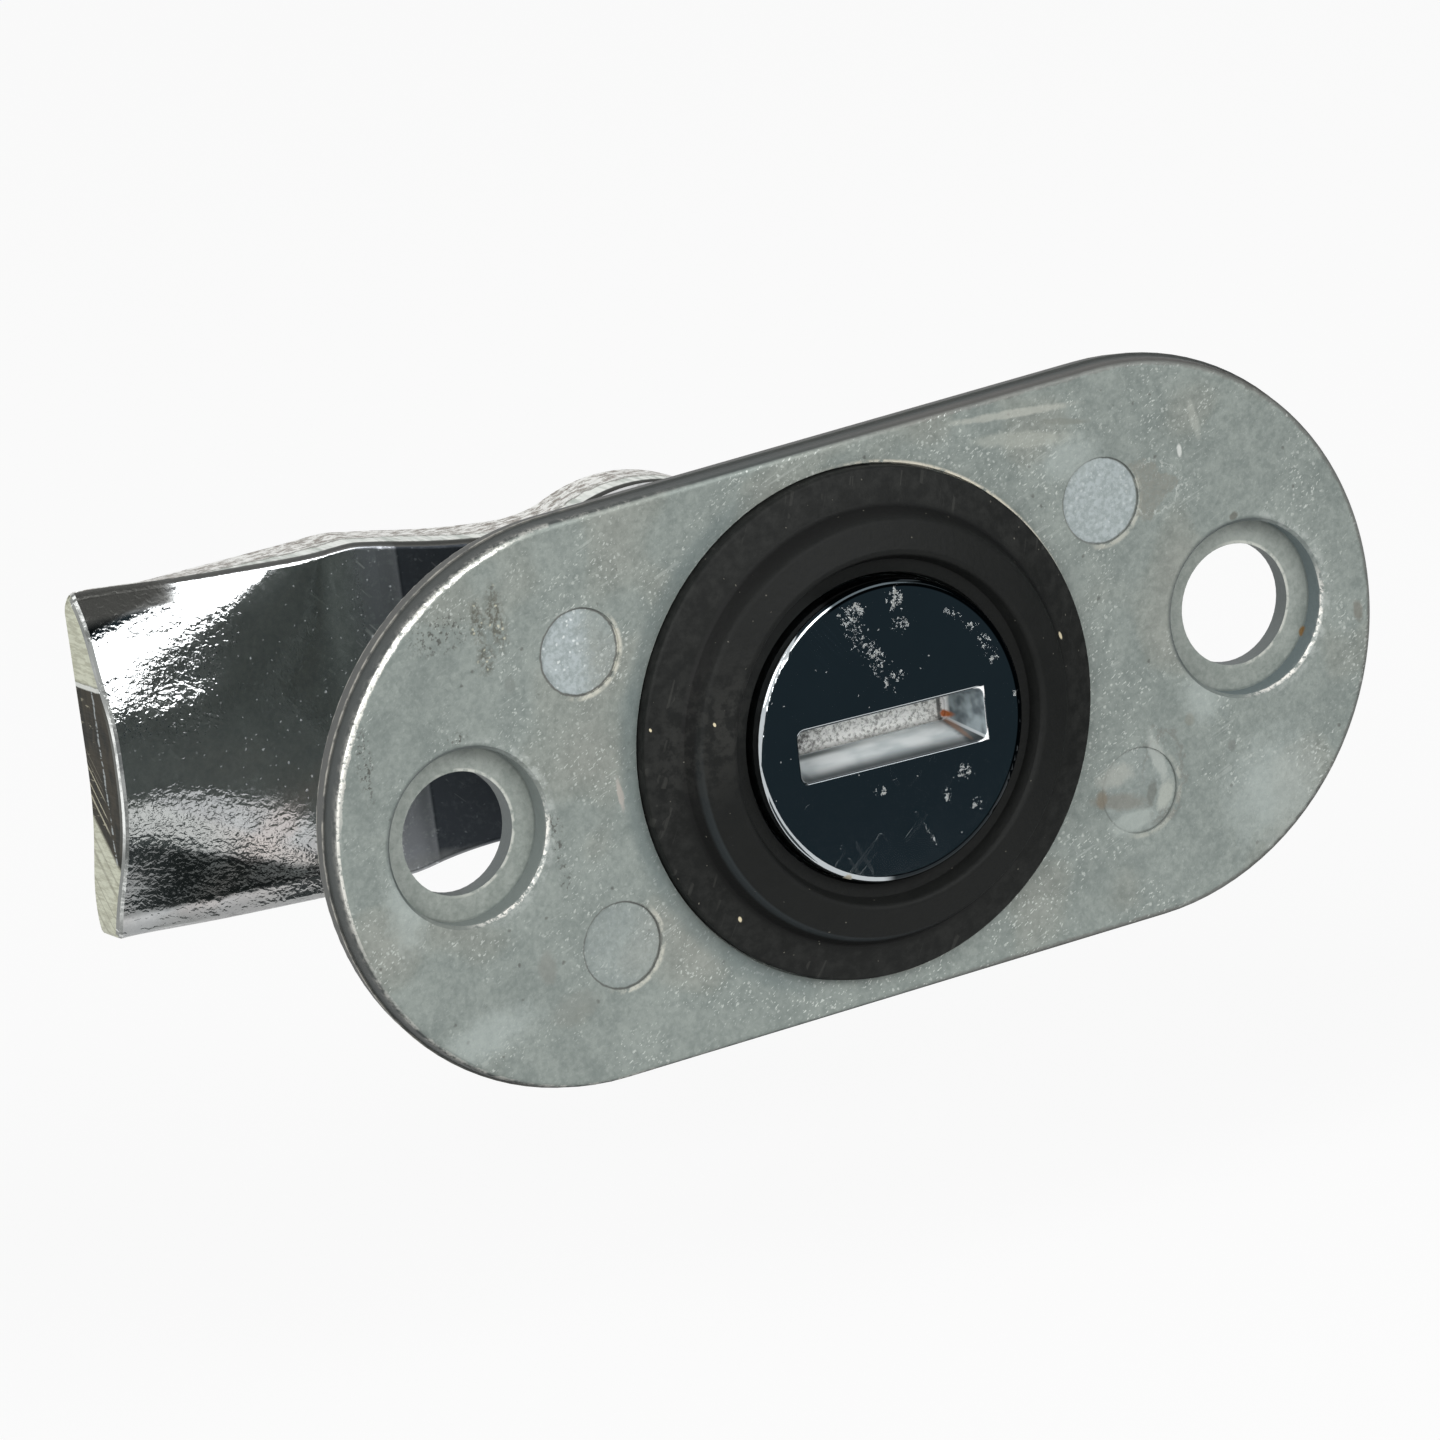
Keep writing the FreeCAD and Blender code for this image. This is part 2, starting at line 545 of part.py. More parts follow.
def tip_section(x, share, inset=0.0):
    """Closed wire across the arm at x, crowned by that share, its front and sides drawn in by inset."""
    w = CAM_HALF_WIDTH - CAM_CORNER_SHARE * inset
    r = CAM_EDGE_ROUND
    k = r * math.sqrt(0.5)
    front = []
    back = []
    for height, fall, lift in zip(CROWN_HEIGHTS, CROWN_FRONT, CROWN_LIFT_FRONT):
        front.append(V(x, ARM_FRONT_Y + inset + share * fall, height * (w - r) + share * lift))
    for height, fall, lift in zip(CROWN_HEIGHTS, CROWN_BACK, CROWN_LIFT_BACK):
        back.append(V(x, ARM_BACK_Y + share * fall, height * w + share * lift))
    low = front[0]
    high = front[-1]
    low_side = V(x, low.y + r, low.z - r)
    high_side = V(x, high.y + r, high.z + r)
    face = Part.BSplineCurve()
    face.interpolate(front)
    rear = Part.BSplineCurve()
    rear.interpolate(list(reversed(back)))
    edges = [
        face.toShape(),
        Part.Arc(high, V(x, high.y + r - k, high.z + k), high_side).toShape(),
        Part.makeLine(high_side, back[-1]),
        rear.toShape(),
        Part.makeLine(back[0], low_side),
        Part.Arc(low_side, V(x, low.y + r - k, low.z - k), low).toShape(),
    ]
    return Part.Wire(edges)


def cam_tip():
    """Crowned end of the arm, with its end face rounded off in steps."""
    reach = CAM_TIP_X + CAM_END_ROUND
    sections = []
    for part, share in CROWN_STATIONS:
        sections.append(tip_section(CAM_ARM_X + part * (reach - CAM_ARM_X), share))
    tip = Part.makeLoft(sections, True, False)
    ends = [sections[-1]]
    for part in CAM_END_STEPS:
        inset = CAM_END_ROUND * (1 - math.sqrt(1 - part ** 2))
        ends.append(tip_section(reach - part * CAM_END_ROUND, 1.0, inset))
    return tip.fuse(Part.makeLoft(ends, True, True))


def cam():
    strip = cam_side().common(cam_outline())
    strip = strip.makeFillet(CAM_EDGE_ROUND, front_rim(strip))
    body = strip.fuse(cam_tip()).removeSplitter()
    return body.cut(square_bar(SQUARE_HOLE_SIDE, CAM_FRONT_Y - PAST, CAM_BACK_Y + PAST))


def plain_washer():
    washer = turned([(WASHER_HOLE_RADIUS, CAM_BACK_Y), (WASHER_RADIUS, CAM_BACK_Y),
                     (WASHER_RADIUS, WASHER_BACK_Y), (WASHER_HOLE_RADIUS, WASHER_BACK_Y)])
    return washer.makeChamfer(WASHER_EDGE, circle_edges(washer, WASHER_RADIUS, WASHER_BACK_Y))


def lock_washer():
    washer = turned([(LOCK_HOLE_RADIUS, WASHER_BACK_Y), (LOCK_RADIUS, WASHER_BACK_Y),
                     (LOCK_RADIUS, LOCK_BACK_Y), (LOCK_HOLE_RADIUS, LOCK_BACK_Y)])
    reach = LOCK_THICK + PAST
    split = Part.makeBox(LOCK_RADIUS + PAST, 2 * reach, LOCK_SPLIT, V(0, -reach, -LOCK_SPLIT / 2))
    split.rotate(ORIGIN, V(1, 0, 0), LOCK_SPLIT_SLANT)
    split.translate(V(0, (WASHER_BACK_Y + LOCK_BACK_Y) / 2, 0))
    split.rotate(ORIGIN, AXIS_Y, LOCK_SPLIT_TURN)
    return washer.cut(split)


def hex_head(y0, y1):
    """Hexagon with its corners turned off at the top."""
    corner = HEX_ACROSS_FLATS / 2 / math.cos(math.radians(30))
    points = []
    for i in range(6):
        a = math.radians(60 * i + HEX_TURN)
        points.append(V(corner * math.cos(a), y0, corner * math.sin(a)))
    head = Part.Face(Part.makePolygon(points + [points[0]])).extrude(V(0, y1 - y0, 0))
    drop = (corner - HEX_TOP_RADIUS) * math.tan(math.radians(HEX_TOP_SLOPE))
    return head.common(turned([(0, y0), (corner, y0), (corner, y1 - drop), (HEX_TOP_RADIUS, y1), (0, y1)]))


def cam_screw():
    y0 = LOCK_BACK_Y
    face = disc(HEX_FACE_RADIUS, y0, y0 + HEX_FACE_HEIGHT)
    head = hex_head(y0 + HEX_FACE_HEIGHT, y0 + HEX_HEIGHT)
    shank = disc(SCREW_RADIUS, y0 - SCREW_LENGTH, y0)
    shank = shank.makeChamfer(SCREW_POINT, circle_edges(shank, SCREW_RADIUS, y0 - SCREW_LENGTH))
    return head.fuse([face, shank]).removeSplitter()


PIECES = {
    "housing": housing,
    "seal_ring": seal_ring,
    "driver_plug": driver_plug,
    "stem_oring": stem_oring,
    "wave_spring": wave_spring,
    "stop_washer": stop_washer,
    "cam": cam,
    "plain_washer": plain_washer,
    "lock_washer": lock_washer,
    "cam_screw": cam_screw,
}

os.makedirs("parts", exist_ok=True)
for name, make in PIECES.items():
    shape = make()
    if len(shape.Solids) == 1:
        shape = shape.Solids[0]
    shape.translate(V(0, -PLATE_THICK, 0))
    box = shape.BoundBox
    print(name, shape.ShapeType, len(shape.Solids), shape.isValid(), round(shape.Volume, 1),
          [round(v, 2) for v in (box.XMin, box.XMax, box.YMin, box.YMax, box.ZMin, box.ZMax)])
    shape.exportStep("parts/" + name + ".step")
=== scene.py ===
import bpy
import math
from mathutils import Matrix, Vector

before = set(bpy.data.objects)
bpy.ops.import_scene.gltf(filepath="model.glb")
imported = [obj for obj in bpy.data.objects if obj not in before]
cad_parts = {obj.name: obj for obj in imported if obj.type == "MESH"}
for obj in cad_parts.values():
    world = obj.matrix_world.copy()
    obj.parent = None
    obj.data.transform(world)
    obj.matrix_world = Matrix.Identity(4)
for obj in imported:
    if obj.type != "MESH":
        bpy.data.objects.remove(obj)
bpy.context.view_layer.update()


# Node helpers; a mask is a value from none to one

def empty_tree(owner):
    """The node tree of a material or a world, with nothing in it."""
    owner.use_nodes = True
    owner.node_tree.nodes.clear()
    return owner.node_tree


def add(tree, kind, **values):
    node = tree.nodes.new(kind)
    for key, value in values.items():
        setattr(node, key, value)
    return node


def put(tree, socket, value):
    """Link a socket, or set a number, a vector or a colour."""
    if isinstance(value, bpy.types.NodeSocket):
        tree.links.new(value, socket)
    else:
        socket.default_value = value


def calc(tree, operation, *values, clamp=False):
    node = add(tree, "ShaderNodeMath", operation=operation, use_clamp=clamp)
    for socket, value in zip(node.inputs, values):
        put(tree, socket, value)
    return node.outputs[0]


def plus(tree, *values, clamp=False):
    return calc(tree, "ADD", *values, clamp=clamp)


def minus(tree, *values, clamp=False):
    return calc(tree, "SUBTRACT", *values, clamp=clamp)


def times(tree, *values):
    return calc(tree, "MULTIPLY", *values)


def vector_calc(tree, operation, *values):
    node = add(tree, "ShaderNodeVectorMath", operation=operation)
    for socket, value in zip(node.inputs, values):
        put(tree, socket, value)
    return node.outputs["Value"] if operation == "LENGTH" else node.outputs["Vector"]


def ramp(tree, value, start, end, low=0.0, high=1.0):
    """Smooth step from low at start to high at end; start may be above end."""
    if start > end:
        start, end, low, high = end, start, high, low
    node = add(tree, "ShaderNodeMapRange", interpolation_type="SMOOTHSTEP")
    put(tree, node.inputs["Value"], value)
    node.inputs["From Min"].default_value = start
    node.inputs["From Max"].default_value = end
    node.inputs["To Min"].default_value = low
    node.inputs["To Max"].default_value = high
    return node.outputs["Result"]


def band(tree, value, low, middle_low, middle_high, high):
    """One between the middle pair, falling to none at the outer pair."""
    rise = ramp(tree, value, low, middle_low)
    fall = ramp(tree, value, high, middle_high)
    return times(tree, rise, fall)


def ring(tree, radius_here, radius, *steps):
    """A band whose four steps are counted from the radius."""
    return band(tree, radius_here, *(radius + step for step in steps))


def both(tree, *masks):
    result = masks[0]
    for mask in masks[1:]:
        result = times(tree, result, mask)
    return result


def either(tree, *masks):
    result = masks[0]
    for mask in masks[1:]:
        result = calc(tree, "MAXIMUM", result, mask)
    return result


def without(tree, mask):
    return minus(tree, 1.0, mask)


def blend(tree, share, first, second):
    node = add(tree, "ShaderNodeMix", data_type="RGBA")
    for index, value in ((0, share), (6, first), (7, second)):
        if isinstance(value, tuple):
            value = (*value, 1.0)
        put(tree, node.inputs[index], value)
    return node.outputs[2]


def level(tree, share, first, second):
    node = add(tree, "ShaderNodeMix", data_type="FLOAT")
    for index, value in ((0, share), (2, first), (3, second)):
        put(tree, node.inputs[index], value)
    return node.outputs[0]


def noise(tree, place, scale, detail=2.0, roughness=0.5, distortion=0.0):
    node = add(tree, "ShaderNodeTexNoise")
    put(tree, node.inputs["Vector"], place)
    node.inputs["Scale"].default_value = scale
    node.inputs["Detail"].default_value = detail
    node.inputs["Roughness"].default_value = roughness
    node.inputs["Distortion"].default_value = distortion
    return node.outputs["Fac"]


def stretched(tree, place, factors):
    return vector_calc(tree, "MULTIPLY", place, factors)


def turned(tree, place, degrees):
    """Places turned about Y, anticlockwise from the front."""
    node = add(tree, "ShaderNodeMapping")
    put(tree, node.inputs["Vector"], place)
    node.inputs["Rotation"].default_value = (0.0, math.radians(degrees), 0.0)
    return node.outputs["Vector"]


def as_place(tree, value):
    """A place that changes only with the value, for stripes."""
    node = add(tree, "ShaderNodeCombineXYZ")
    put(tree, node.inputs[0], value)
    return node.outputs[0]


def parts_of(tree, place):
    node = add(tree, "ShaderNodeSeparateXYZ")
    put(tree, node.inputs[0], place)
    return node.outputs[0], node.outputs[1], node.outputs[2]


def radius_from(tree, x, z, centre_x=0.0, centre_z=0.0):
    across = minus(tree, x, centre_x)
    up = minus(tree, z, centre_z)
    squares = plus(tree, times(tree, across, across), times(tree, up, up))
    return calc(tree, "SQRT", squares)


# Shared surface effects, each a node group with places in millimetres

def new_group(name, inputs, outputs):
    group = bpy.data.node_groups.new(name, "ShaderNodeTree")
    for label, kind, value in inputs:
        socket = group.interface.new_socket(label, in_out="INPUT", socket_type=kind)
        socket.default_value = value
    for label, kind in outputs:
        group.interface.new_socket(label, in_out="OUTPUT", socket_type=kind)
    start = add(group, "NodeGroupInput")
    end = add(group, "NodeGroupOutput")
    return group, start.outputs, end.inputs


FLOAT = "NodeSocketFloat"
VECTOR = "NodeSocketVector"
NOWHERE = (0.0, 0.0, 0.0)
MILLIMETRE = 0.001


def patch_group():
    """A ragged oval patch seen from the front, and the thin line round it."""
    group, given, result = new_group("ragged_patch", [
        ("X", FLOAT, 0.0), ("Z", FLOAT, 0.0), ("Centre X", FLOAT, 0.0), ("Centre Z", FLOAT, 0.0),
        ("Half Width", FLOAT, 1.0), ("Half Height", FLOAT, 1.0), ("Turn", FLOAT, 0.0),
        ("Soft", FLOAT, 0.2), ("Waver", FLOAT, 0.0),
    ], [("Mask", FLOAT), ("Rim", FLOAT)])
    across = minus(group, given["X"], given["Centre X"])
    up = minus(group, given["Z"], given["Centre Z"])
    cosine = calc(group, "COSINE", given["Turn"])
    sine = calc(group, "SINE", given["Turn"])
    along = calc(group, "MULTIPLY_ADD", across, cosine, times(group, up, sine))
    aside = minus(group, times(group, up, cosine), times(group, across, sine))
    size = radius_from(group, calc(group, "DIVIDE", along, given["Half Width"]),
                       calc(group, "DIVIDE", aside, given["Half Height"]))
    edge = plus(group, size, given["Waver"])
    inside = calc(group, "DIVIDE", minus(group, 1.0, edge), given["Soft"])
    put(group, result["Mask"], plus(group, inside, 0.5, clamp=True))
    away = calc(group, "ABSOLUTE", minus(group, edge, 1.0))
    put(group, result["Rim"], minus(group, 1.0, calc(group, "DIVIDE", away, given["Soft"]), clamp=True))
    return group


def scratch_group():
    """Fine broken lines that run along the given turn."""
    group, given, result = new_group("fine_scratches", [
        ("Place", VECTOR, NOWHERE), ("Turn", VECTOR, NOWHERE),
        ("Scale", FLOAT, 1.0), ("Share", FLOAT, 0.3),
    ], [("Mask", FLOAT)])
    along = add(group, "ShaderNodeMapping")
    put(group, along.inputs["Vector"], given["Place"])
    put(group, along.inputs["Rotation"], given["Turn"])
    lines = add(group, "ShaderNodeTexNoise")
    lines.inputs["Detail"].default_value = 2.0
    lines.inputs["Distortion"].default_value = 0.35
    put(group, lines.inputs["Vector"], stretched(group, along.outputs["Vector"], (0.1, 0.4, 2.6)))
    put(group, lines.inputs["Scale"], given["Scale"])
    broken = noise(group, given["Place"], 0.7, 1.0)
    line = ramp(group, lines.outputs["Fac"], 0.6, 0.68)
    kept = calc(group, "LESS_THAN", broken, given["Share"])
    put(group, result["Mask"], times(group, line, kept))
    return group


def speck_group():
    """Scattered round specks, a given share of the cells having one."""
    group, given, result = new_group("scattered_specks", [
        ("Place", VECTOR, NOWHERE), ("Scale", FLOAT, 1.0), ("Size", FLOAT, 0.2), ("Share", FLOAT, 0.3),
    ], [("Mask", FLOAT)])
    cells = add(group, "ShaderNodeTexVoronoi")
    warp = add(group, "ShaderNodeTexNoise")
    put(group, warp.inputs["Vector"], given["Place"])
    warp.inputs["Scale"].default_value = 4.0
    bent = vector_calc(group, "SCALE", warp.outputs["Color"])
    bent.node.inputs["Scale"].default_value = 0.25
    put(group, cells.inputs["Vector"], vector_calc(group, "ADD", given["Place"], bent))
    put(group, cells.inputs["Scale"], given["Scale"])
    near = calc(group, "DIVIDE", cells.outputs["Distance"], given["Size"])
    dot = minus(group, 1.0, near, clamp=True)
    red = add(group, "ShaderNodeSeparateColor")
    put(group, red.inputs[0], cells.outputs["Color"])
    kept = calc(group, "LESS_THAN", red.outputs[0], given["Share"])
    put(group, result["Mask"], times(group, calc(group, "SQRT", dot), kept))
    return group


def mottle_group():
    """Cloudy mottling in three sizes, about the middle at one half."""
    group, given, result = new_group("cloudy_mottle", [
        ("Place", VECTOR, NOWHERE), ("Large", FLOAT, 0.4), ("Middle", FLOAT, 0.4), ("Fine", FLOAT, 0.2),
    ], [("Value", FLOAT)])
    total = 0.5
    for label, scale, detail in (("Large", 0.11, 3.0), ("Middle", 0.55, 4.0), ("Fine", 2.8, 3.0)):
        cloud = minus(group, noise(group, given["Place"], scale, detail, 0.6, 0.4), 0.5)
        total = plus(group, times(group, cloud, given[label]), total)
    put(group, result["Value"], total)
    return group


def peel_group():
    """Dimpled skin of plated sheet where it was drawn over the tool."""
    group, given, result = new_group("orange_peel", [
        ("Place", VECTOR, NOWHERE), ("Turn", VECTOR, NOWHERE),
        ("Scale", FLOAT, 2.0), ("Depth", FLOAT, 0.03),
    ], [("Height", FLOAT)])
    lean = add(group, "ShaderNodeMapping")
    put(group, lean.inputs["Vector"], given["Place"])
    put(group, lean.inputs["Rotation"], given["Turn"])
    warp = add(group, "ShaderNodeTexNoise")
    put(group, warp.inputs["Vector"], given["Place"])
    warp.inputs["Scale"].default_value = 1.7
    warp.inputs["Detail"].default_value = 2.0
    bent = vector_calc(group, "SCALE", warp.outputs["Color"])
    bent.node.inputs["Scale"].default_value = 0.9
    along = stretched(group, vector_calc(group, "ADD", lean.outputs["Vector"], bent), (0.55, 1.0, 1.25))
    dimples = add(group, "ShaderNodeTexVoronoi", feature="SMOOTH_F1")
    put(group, dimples.inputs["Vector"], along)
    put(group, dimples.inputs["Scale"], given["Scale"])
    grain = add(group, "ShaderNodeTexNoise")
    put(group, grain.inputs["Vector"], along)
    grain.inputs["Scale"].default_value = 3.4
    grain.inputs["Detail"].default_value = 2.0
    height = plus(group, dimples.outputs["Distance"], times(group, grain.outputs["Fac"], 0.6))
    put(group, result["Height"], times(group, height, given["Depth"]))
    return group


PATCH = patch_group()
SCRATCHES = scratch_group()
SPECKS = speck_group()
MOTTLE = mottle_group()
PEEL = peel_group()


def use(tree, group, output, **values):
    node = add(tree, "ShaderNodeGroup")
    node.node_tree = group
    for label, value in values.items():
        put(tree, node.inputs[label.replace("_", " ")], value)
    return node.outputs[output]


def patch(f, centre, reach, turn=0.0, soft=0.3, ragged=0.5, output="Mask"):
    """Patch at (x, z) with half sizes along X and Z, turned anticlockwise."""
    return use(f.tree, PATCH, output, X=f.x, Z=f.z, Centre_X=centre[0], Centre_Z=centre[1],
               Half_Width=reach[0], Half_Height=reach[1], Turn=math.radians(turn), Soft=soft,
               Waver=times(f.tree, f.waver, ragged))


def specks(tree, place, scale, size, share):
    return use(tree, SPECKS, "Mask", Place=place, Scale=scale, Size=size, Share=share)


def scratches(tree, place, turn, scale, share):
    return use(tree, SCRATCHES, "Mask", Place=place, Turn=(0.0, math.radians(turn), 0.0),
               Scale=scale, Share=share)


class Finish:
    """One Principled material with its places in millimetres."""

    def __init__(self, name):
        self.material = bpy.data.materials.new(name)
        self.tree = empty_tree(self.material)
        self.shader = add(self.tree, "ShaderNodeBsdfPrincipled")
        out = add(self.tree, "ShaderNodeOutputMaterial")
        put(self.tree, out.inputs["Surface"], self.shader.outputs[0])
        coordinates = add(self.tree, "ShaderNodeTexCoord")
        scale = add(self.tree, "ShaderNodeVectorMath", operation="SCALE")
        put(self.tree, scale.inputs[0], coordinates.outputs["Object"])
        scale.inputs["Scale"].default_value = 1.0 / MILLIMETRE
        self.place = scale.outputs["Vector"]
        self.x, self.y, self.z = parts_of(self.tree, self.place)
        self.nx, self.ny, self.nz = parts_of(self.tree, coordinates.outputs["Normal"])
        self.uneven = noise(self.tree, self.place, 1.1, 4.0, 0.68)
        self.waver = times(self.tree, minus(self.tree, self.uneven, 0.5), 2.0)
        self.colour = (0.5, 0.5, 0.5)
        self.height = None

    def set(self, label, value):
        if isinstance(value, tuple):
            value = (*value, 1.0)
        put(self.tree, self.shader.inputs[label], value)

    def tint(self, mask, colour, share=None):
        if share is not None:
            mask = times(self.tree, mask, share)
        self.colour = blend(self.tree, mask, self.colour, colour)

    def raise_by(self, mask, amount):
        """Raise the surface by that many millimetres where the mask is one."""
        step = times(self.tree, mask, amount)
        self.height = step if self.height is None else plus(self.tree, self.height, step)

    def near(self, value, amount):
        """The value made uneven by up to that amount."""
        return plus(self.tree, value, times(self.tree, self.waver, amount))

    def close(self):
        self.set("Base Color", self.colour)
        if self.height is not None:
            bump = add(self.tree, "ShaderNodeBump")
            bump.inputs["Strength"].default_value = 1.0
            bump.inputs["Distance"].default_value = MILLIMETRE
            put(self.tree, bump.inputs["Height"], self.height)
            put(self.tree, self.shader.inputs["Normal"], bump.outputs["Normal"])
        return self.material


# Places on the latch, millimetres

PLATE_FRONT = -2.7
PLATE_END = 19.65          # where the plate's straight edges end in round ones
PLATE_HALF = 17.85
HOLE_X = 28.25
HOLE_RADIUS = 3.85
SINK_RADIUS = 5.5          # the counterbores
MARK_RADIUS = 2.73         # the ejector pin marks
SEAL_RIM = 16.17
DRIVER_FRONT = -6.2
SLOT_HALF_LENGTH = 6.7
SLOT_HALF_WIDTH = 1.65
SLOT_DROP = 0.3
SLOT_TURN = 2.2            # degrees
JOGGLE_START = -14.8


# Cast zinc of the housing

def cast_zinc():
    """Mottled grey with painted shade on the sides, then the worn edge with a painted highlight, speckle
    with painted glints, holes with painted shade, marks with painted highlights, stains, dirt and a
    painted shadow beside the ring.
    """
    f = Finish("cast_zinc")
    t = f.tree
    cloud = use(t, MOTTLE, "Value", Place=f.place, Large=0.3, Middle=0.55, Fine=0.7)
    f.colour = blend(t, ramp(t, cloud, 0.2, 0.8), (0.165, 0.19, 0.174), (0.29, 0.32, 0.292))
    warm = ramp(t, noise(t, f.place, 0.13, 1.0), 0.5, 0.72)
    f.tint(warm, (0.29, 0.282, 0.25), 0.3)
    cool = ramp(t, warm, 0.3, 0.0)
    f.tint(cool, (0.225, 0.275, 0.278), 0.16)

    facing = calc(t, "ABSOLUTE", f.ny)
    flank = ramp(t, facing, 0.8, 0.4)
    front = both(t, ramp(t, f.ny, -0.75, -0.95), ramp(t, f.y, PLATE_FRONT + 0.5, PLATE_FRONT + 0.3))
    back_wear = both(t, ramp(t, f.ny, 0.75, 0.95), ramp(t, f.uneven, 0.42, 0.66))
    f.tint(back_wear, (0.36, 0.385, 0.36), 0.7)
    near_front = ramp(t, f.y, -2.2, -2.5)
    # Painted shade: every face but the front is darkened, and the side wall more so, less toward its rear.
    f.tint(without(t, front), (0.12, 0.138, 0.132), 0.4)
    rear_half = ramp(t, f.y, -1.55, -1.25)
    side = blend(t, rear_half, (0.03, 0.034, 0.034), (0.066, 0.066, 0.063))
    reach = calc(t, "MAXIMUM", minus(t, calc(t, "ABSOLUTE", f.x), PLATE_END), 0.0)
    edge = minus(t, radius_from(t, reach, f.z), PLATE_HALF)
    outer = ramp(t, edge, -0.9, -0.3)
    f.tint(both(t, either(t, flank, ramp(t, edge, -0.24, -0.14)), outer), side, 0.88)

    at_front = ramp(t, f.y, -1.7, -2.2)
    shifted = f.near(edge, 0.22)
    grain = noise(t, f.place, 3.0, 3.0, 0.7)
    # The front edge's rounding, broadest at upper left: worn bright metal with a painted highlight along
    # it.
    wide = both(t, band(t, shifted, -0.5, -0.4, -0.28, -0.18), ramp(t, f.z, 1.0, 6.5),
                ramp(t, f.x, -20.5, -25.5))
    narrow = both(t, band(t, edge, -0.34, -0.28, -0.2, -0.12), ramp(t, f.z, -9.0, 0.0),
                  ramp(t, f.x, -26.0, -33.0))
    faint = both(t, band(t, edge, -0.34, -0.24, -0.16, -0.04), ramp(t, f.x, -8.0, -18.0),
                 ramp(t, f.uneven, 0.4, 0.6), 0.4)
    rubbed_edge_and_highlight = both(t, either(t, wide, both(t, narrow, 0.9), faint), at_front,
                  ramp(t, grain, 0.36, 0.52, 0.15))
    f.tint(rubbed_edge_and_highlight, (0.84, 0.83, 0.77))
    # A darker line along the front edge's rounding on the right half.
    right_edge_dark_line = both(t, band(t, shifted, -0.55, -0.35, -0.1, 0.1), at_front, ramp(t, f.x, -5.0, 10.0))
    f.tint(right_edge_dark_line, (0.105, 0.097, 0.09), 0.55)
    line_y = calc(t, "ABSOLUTE", plus(t, f.y, 1.3))
    parting = both(t, ramp(t, line_y, 0.13, 0.05), ramp(t, edge, 0.0, 0.06), ramp(t, f.x, -12.0, -24.0))
    f.tint(both(t, parting, ramp(t, f.uneven, 0.35, 0.6)), (0.36, 0.35, 0.31))
    rear_line = both(t, band(t, f.y, -0.32, -0.2, 0.0, 0.1), outer, ramp(t, f.x, -12.0, -24.0))
    f.tint(both(t, rear_line, ramp(t, f.uneven, 0.4, 0.62)), (0.4, 0.39, 0.35), 0.8)

    r_axis = radius_from(t, f.x, f.z)
    by_ring = ramp(t, r_axis, 22.5, 17.0)
    zone = plus(t, noise(t, f.place, 0.25), times(t, by_ring, 0.12))
    zone = ramp(t, zone, 0.46, 0.66, 0.12)
    # Painted glints on specks, with light scratches and nicks, in zones nearer the ring.
    glints = specks(t, f.place, 2.9, 0.34, 0.17)
    ticks = noise(t, stretched(t, turned(t, f.place, 35.0), (3.6, 1.0, 9.0)), 1.0, 1.0)
    ticks = ramp(t, ticks, 0.64, 0.72)
    nicks = scratches(t, f.place, 18.0, 1.5, 0.46)
    scratches_and_glints = both(t, either(t, both(t, glints, 0.75), both(t, ticks, 0.8), both(t, nicks, 0.22)),
                  front, zone)
    f.tint(scratches_and_glints, (0.6, 0.635, 0.6))
    pits = both(t, specks(t, turned(t, f.place, 33.0), 0.9, 0.13, 0.16), front)
    f.tint(pits, (0.06, 0.057, 0.05), 0.7)

    for side_sign in (-1, 1):
        centre = side_sign * HOLE_X
        r = radius_from(t, f.x, f.z, centre)
        ragged = f.near(r, 0.16)
        aside = plus(t, times(t, minus(t, f.x, centre), 0.135), times(t, f.z, -0.12))
        toward = ramp(t, aside, 0.45, 0.9)
        # A burr on the lower right of each counterbore's rim, drawn as a painted highlight.
        burr_highlight = both(t, ring(t, ragged, SINK_RADIUS, -0.06, 0.02, 0.08, 0.22), toward, near_front,
                    ramp(t, grain, 0.42, 0.54, 0.05))
        f.tint(burr_highlight, (0.86, 0.84, 0.78))
        halo = both(t, ring(t, ragged, SINK_RADIUS, 0.0, 0.12, 0.45, 0.85),
                    ramp(t, f.x, centre - 0.5, centre + 3.0), near_front)
        f.tint(both(t, halo, ramp(t, f.uneven, 0.42, 0.62)), (0.44, 0.47, 0.45), 0.55)
        shade = both(t, ring(t, r, SINK_RADIUS, -0.1, 0.0, 0.12, 0.45), ramp(t, aside, 0.05, -0.55),
                     near_front)
        f.tint(shade, (0.062, 0.078, 0.076), 0.75)
        floor = both(t, ramp(t, r, SINK_RADIUS - 0.05, SINK_RADIUS - 0.2), ramp(t, f.y, -1.5, -1.25),
                     ramp(t, f.ny, -0.8, -0.95))
        f.tint(floor,
               blend(t, ramp(t, cloud, 0.25, 0.75), (0.225, 0.255, 0.232), (0.34, 0.368, 0.34)), 0.85)
        lip = both(t, floor, ring(t, f.near(r, 0.06), HOLE_RADIUS, -0.01, 0.05, 0.13, 0.25),
                   ramp(t, f.x, centre - 2.0, centre + 1.5))
        f.tint(both(t, lip, ramp(t, f.uneven, 0.4, 0.55)), (0.58, 0.59, 0.54), 0.8)
        # Painted shade on the counterbore walls, darker and bluer in the right one, and in the hole bores.
        wall = both(t, ring(t, r, SINK_RADIUS, -0.3, -0.1, 0.1, 0.25), flank)
        f.tint(wall, (0.135, 0.172, 0.182) if side_sign > 0 else (0.2, 0.228, 0.22), 0.8)
        bore = both(t, ramp(t, r, HOLE_RADIUS + 0.25, HOLE_RADIUS + 0.1), flank)
        f.tint(bore, (0.115, 0.128, 0.13), 0.75)

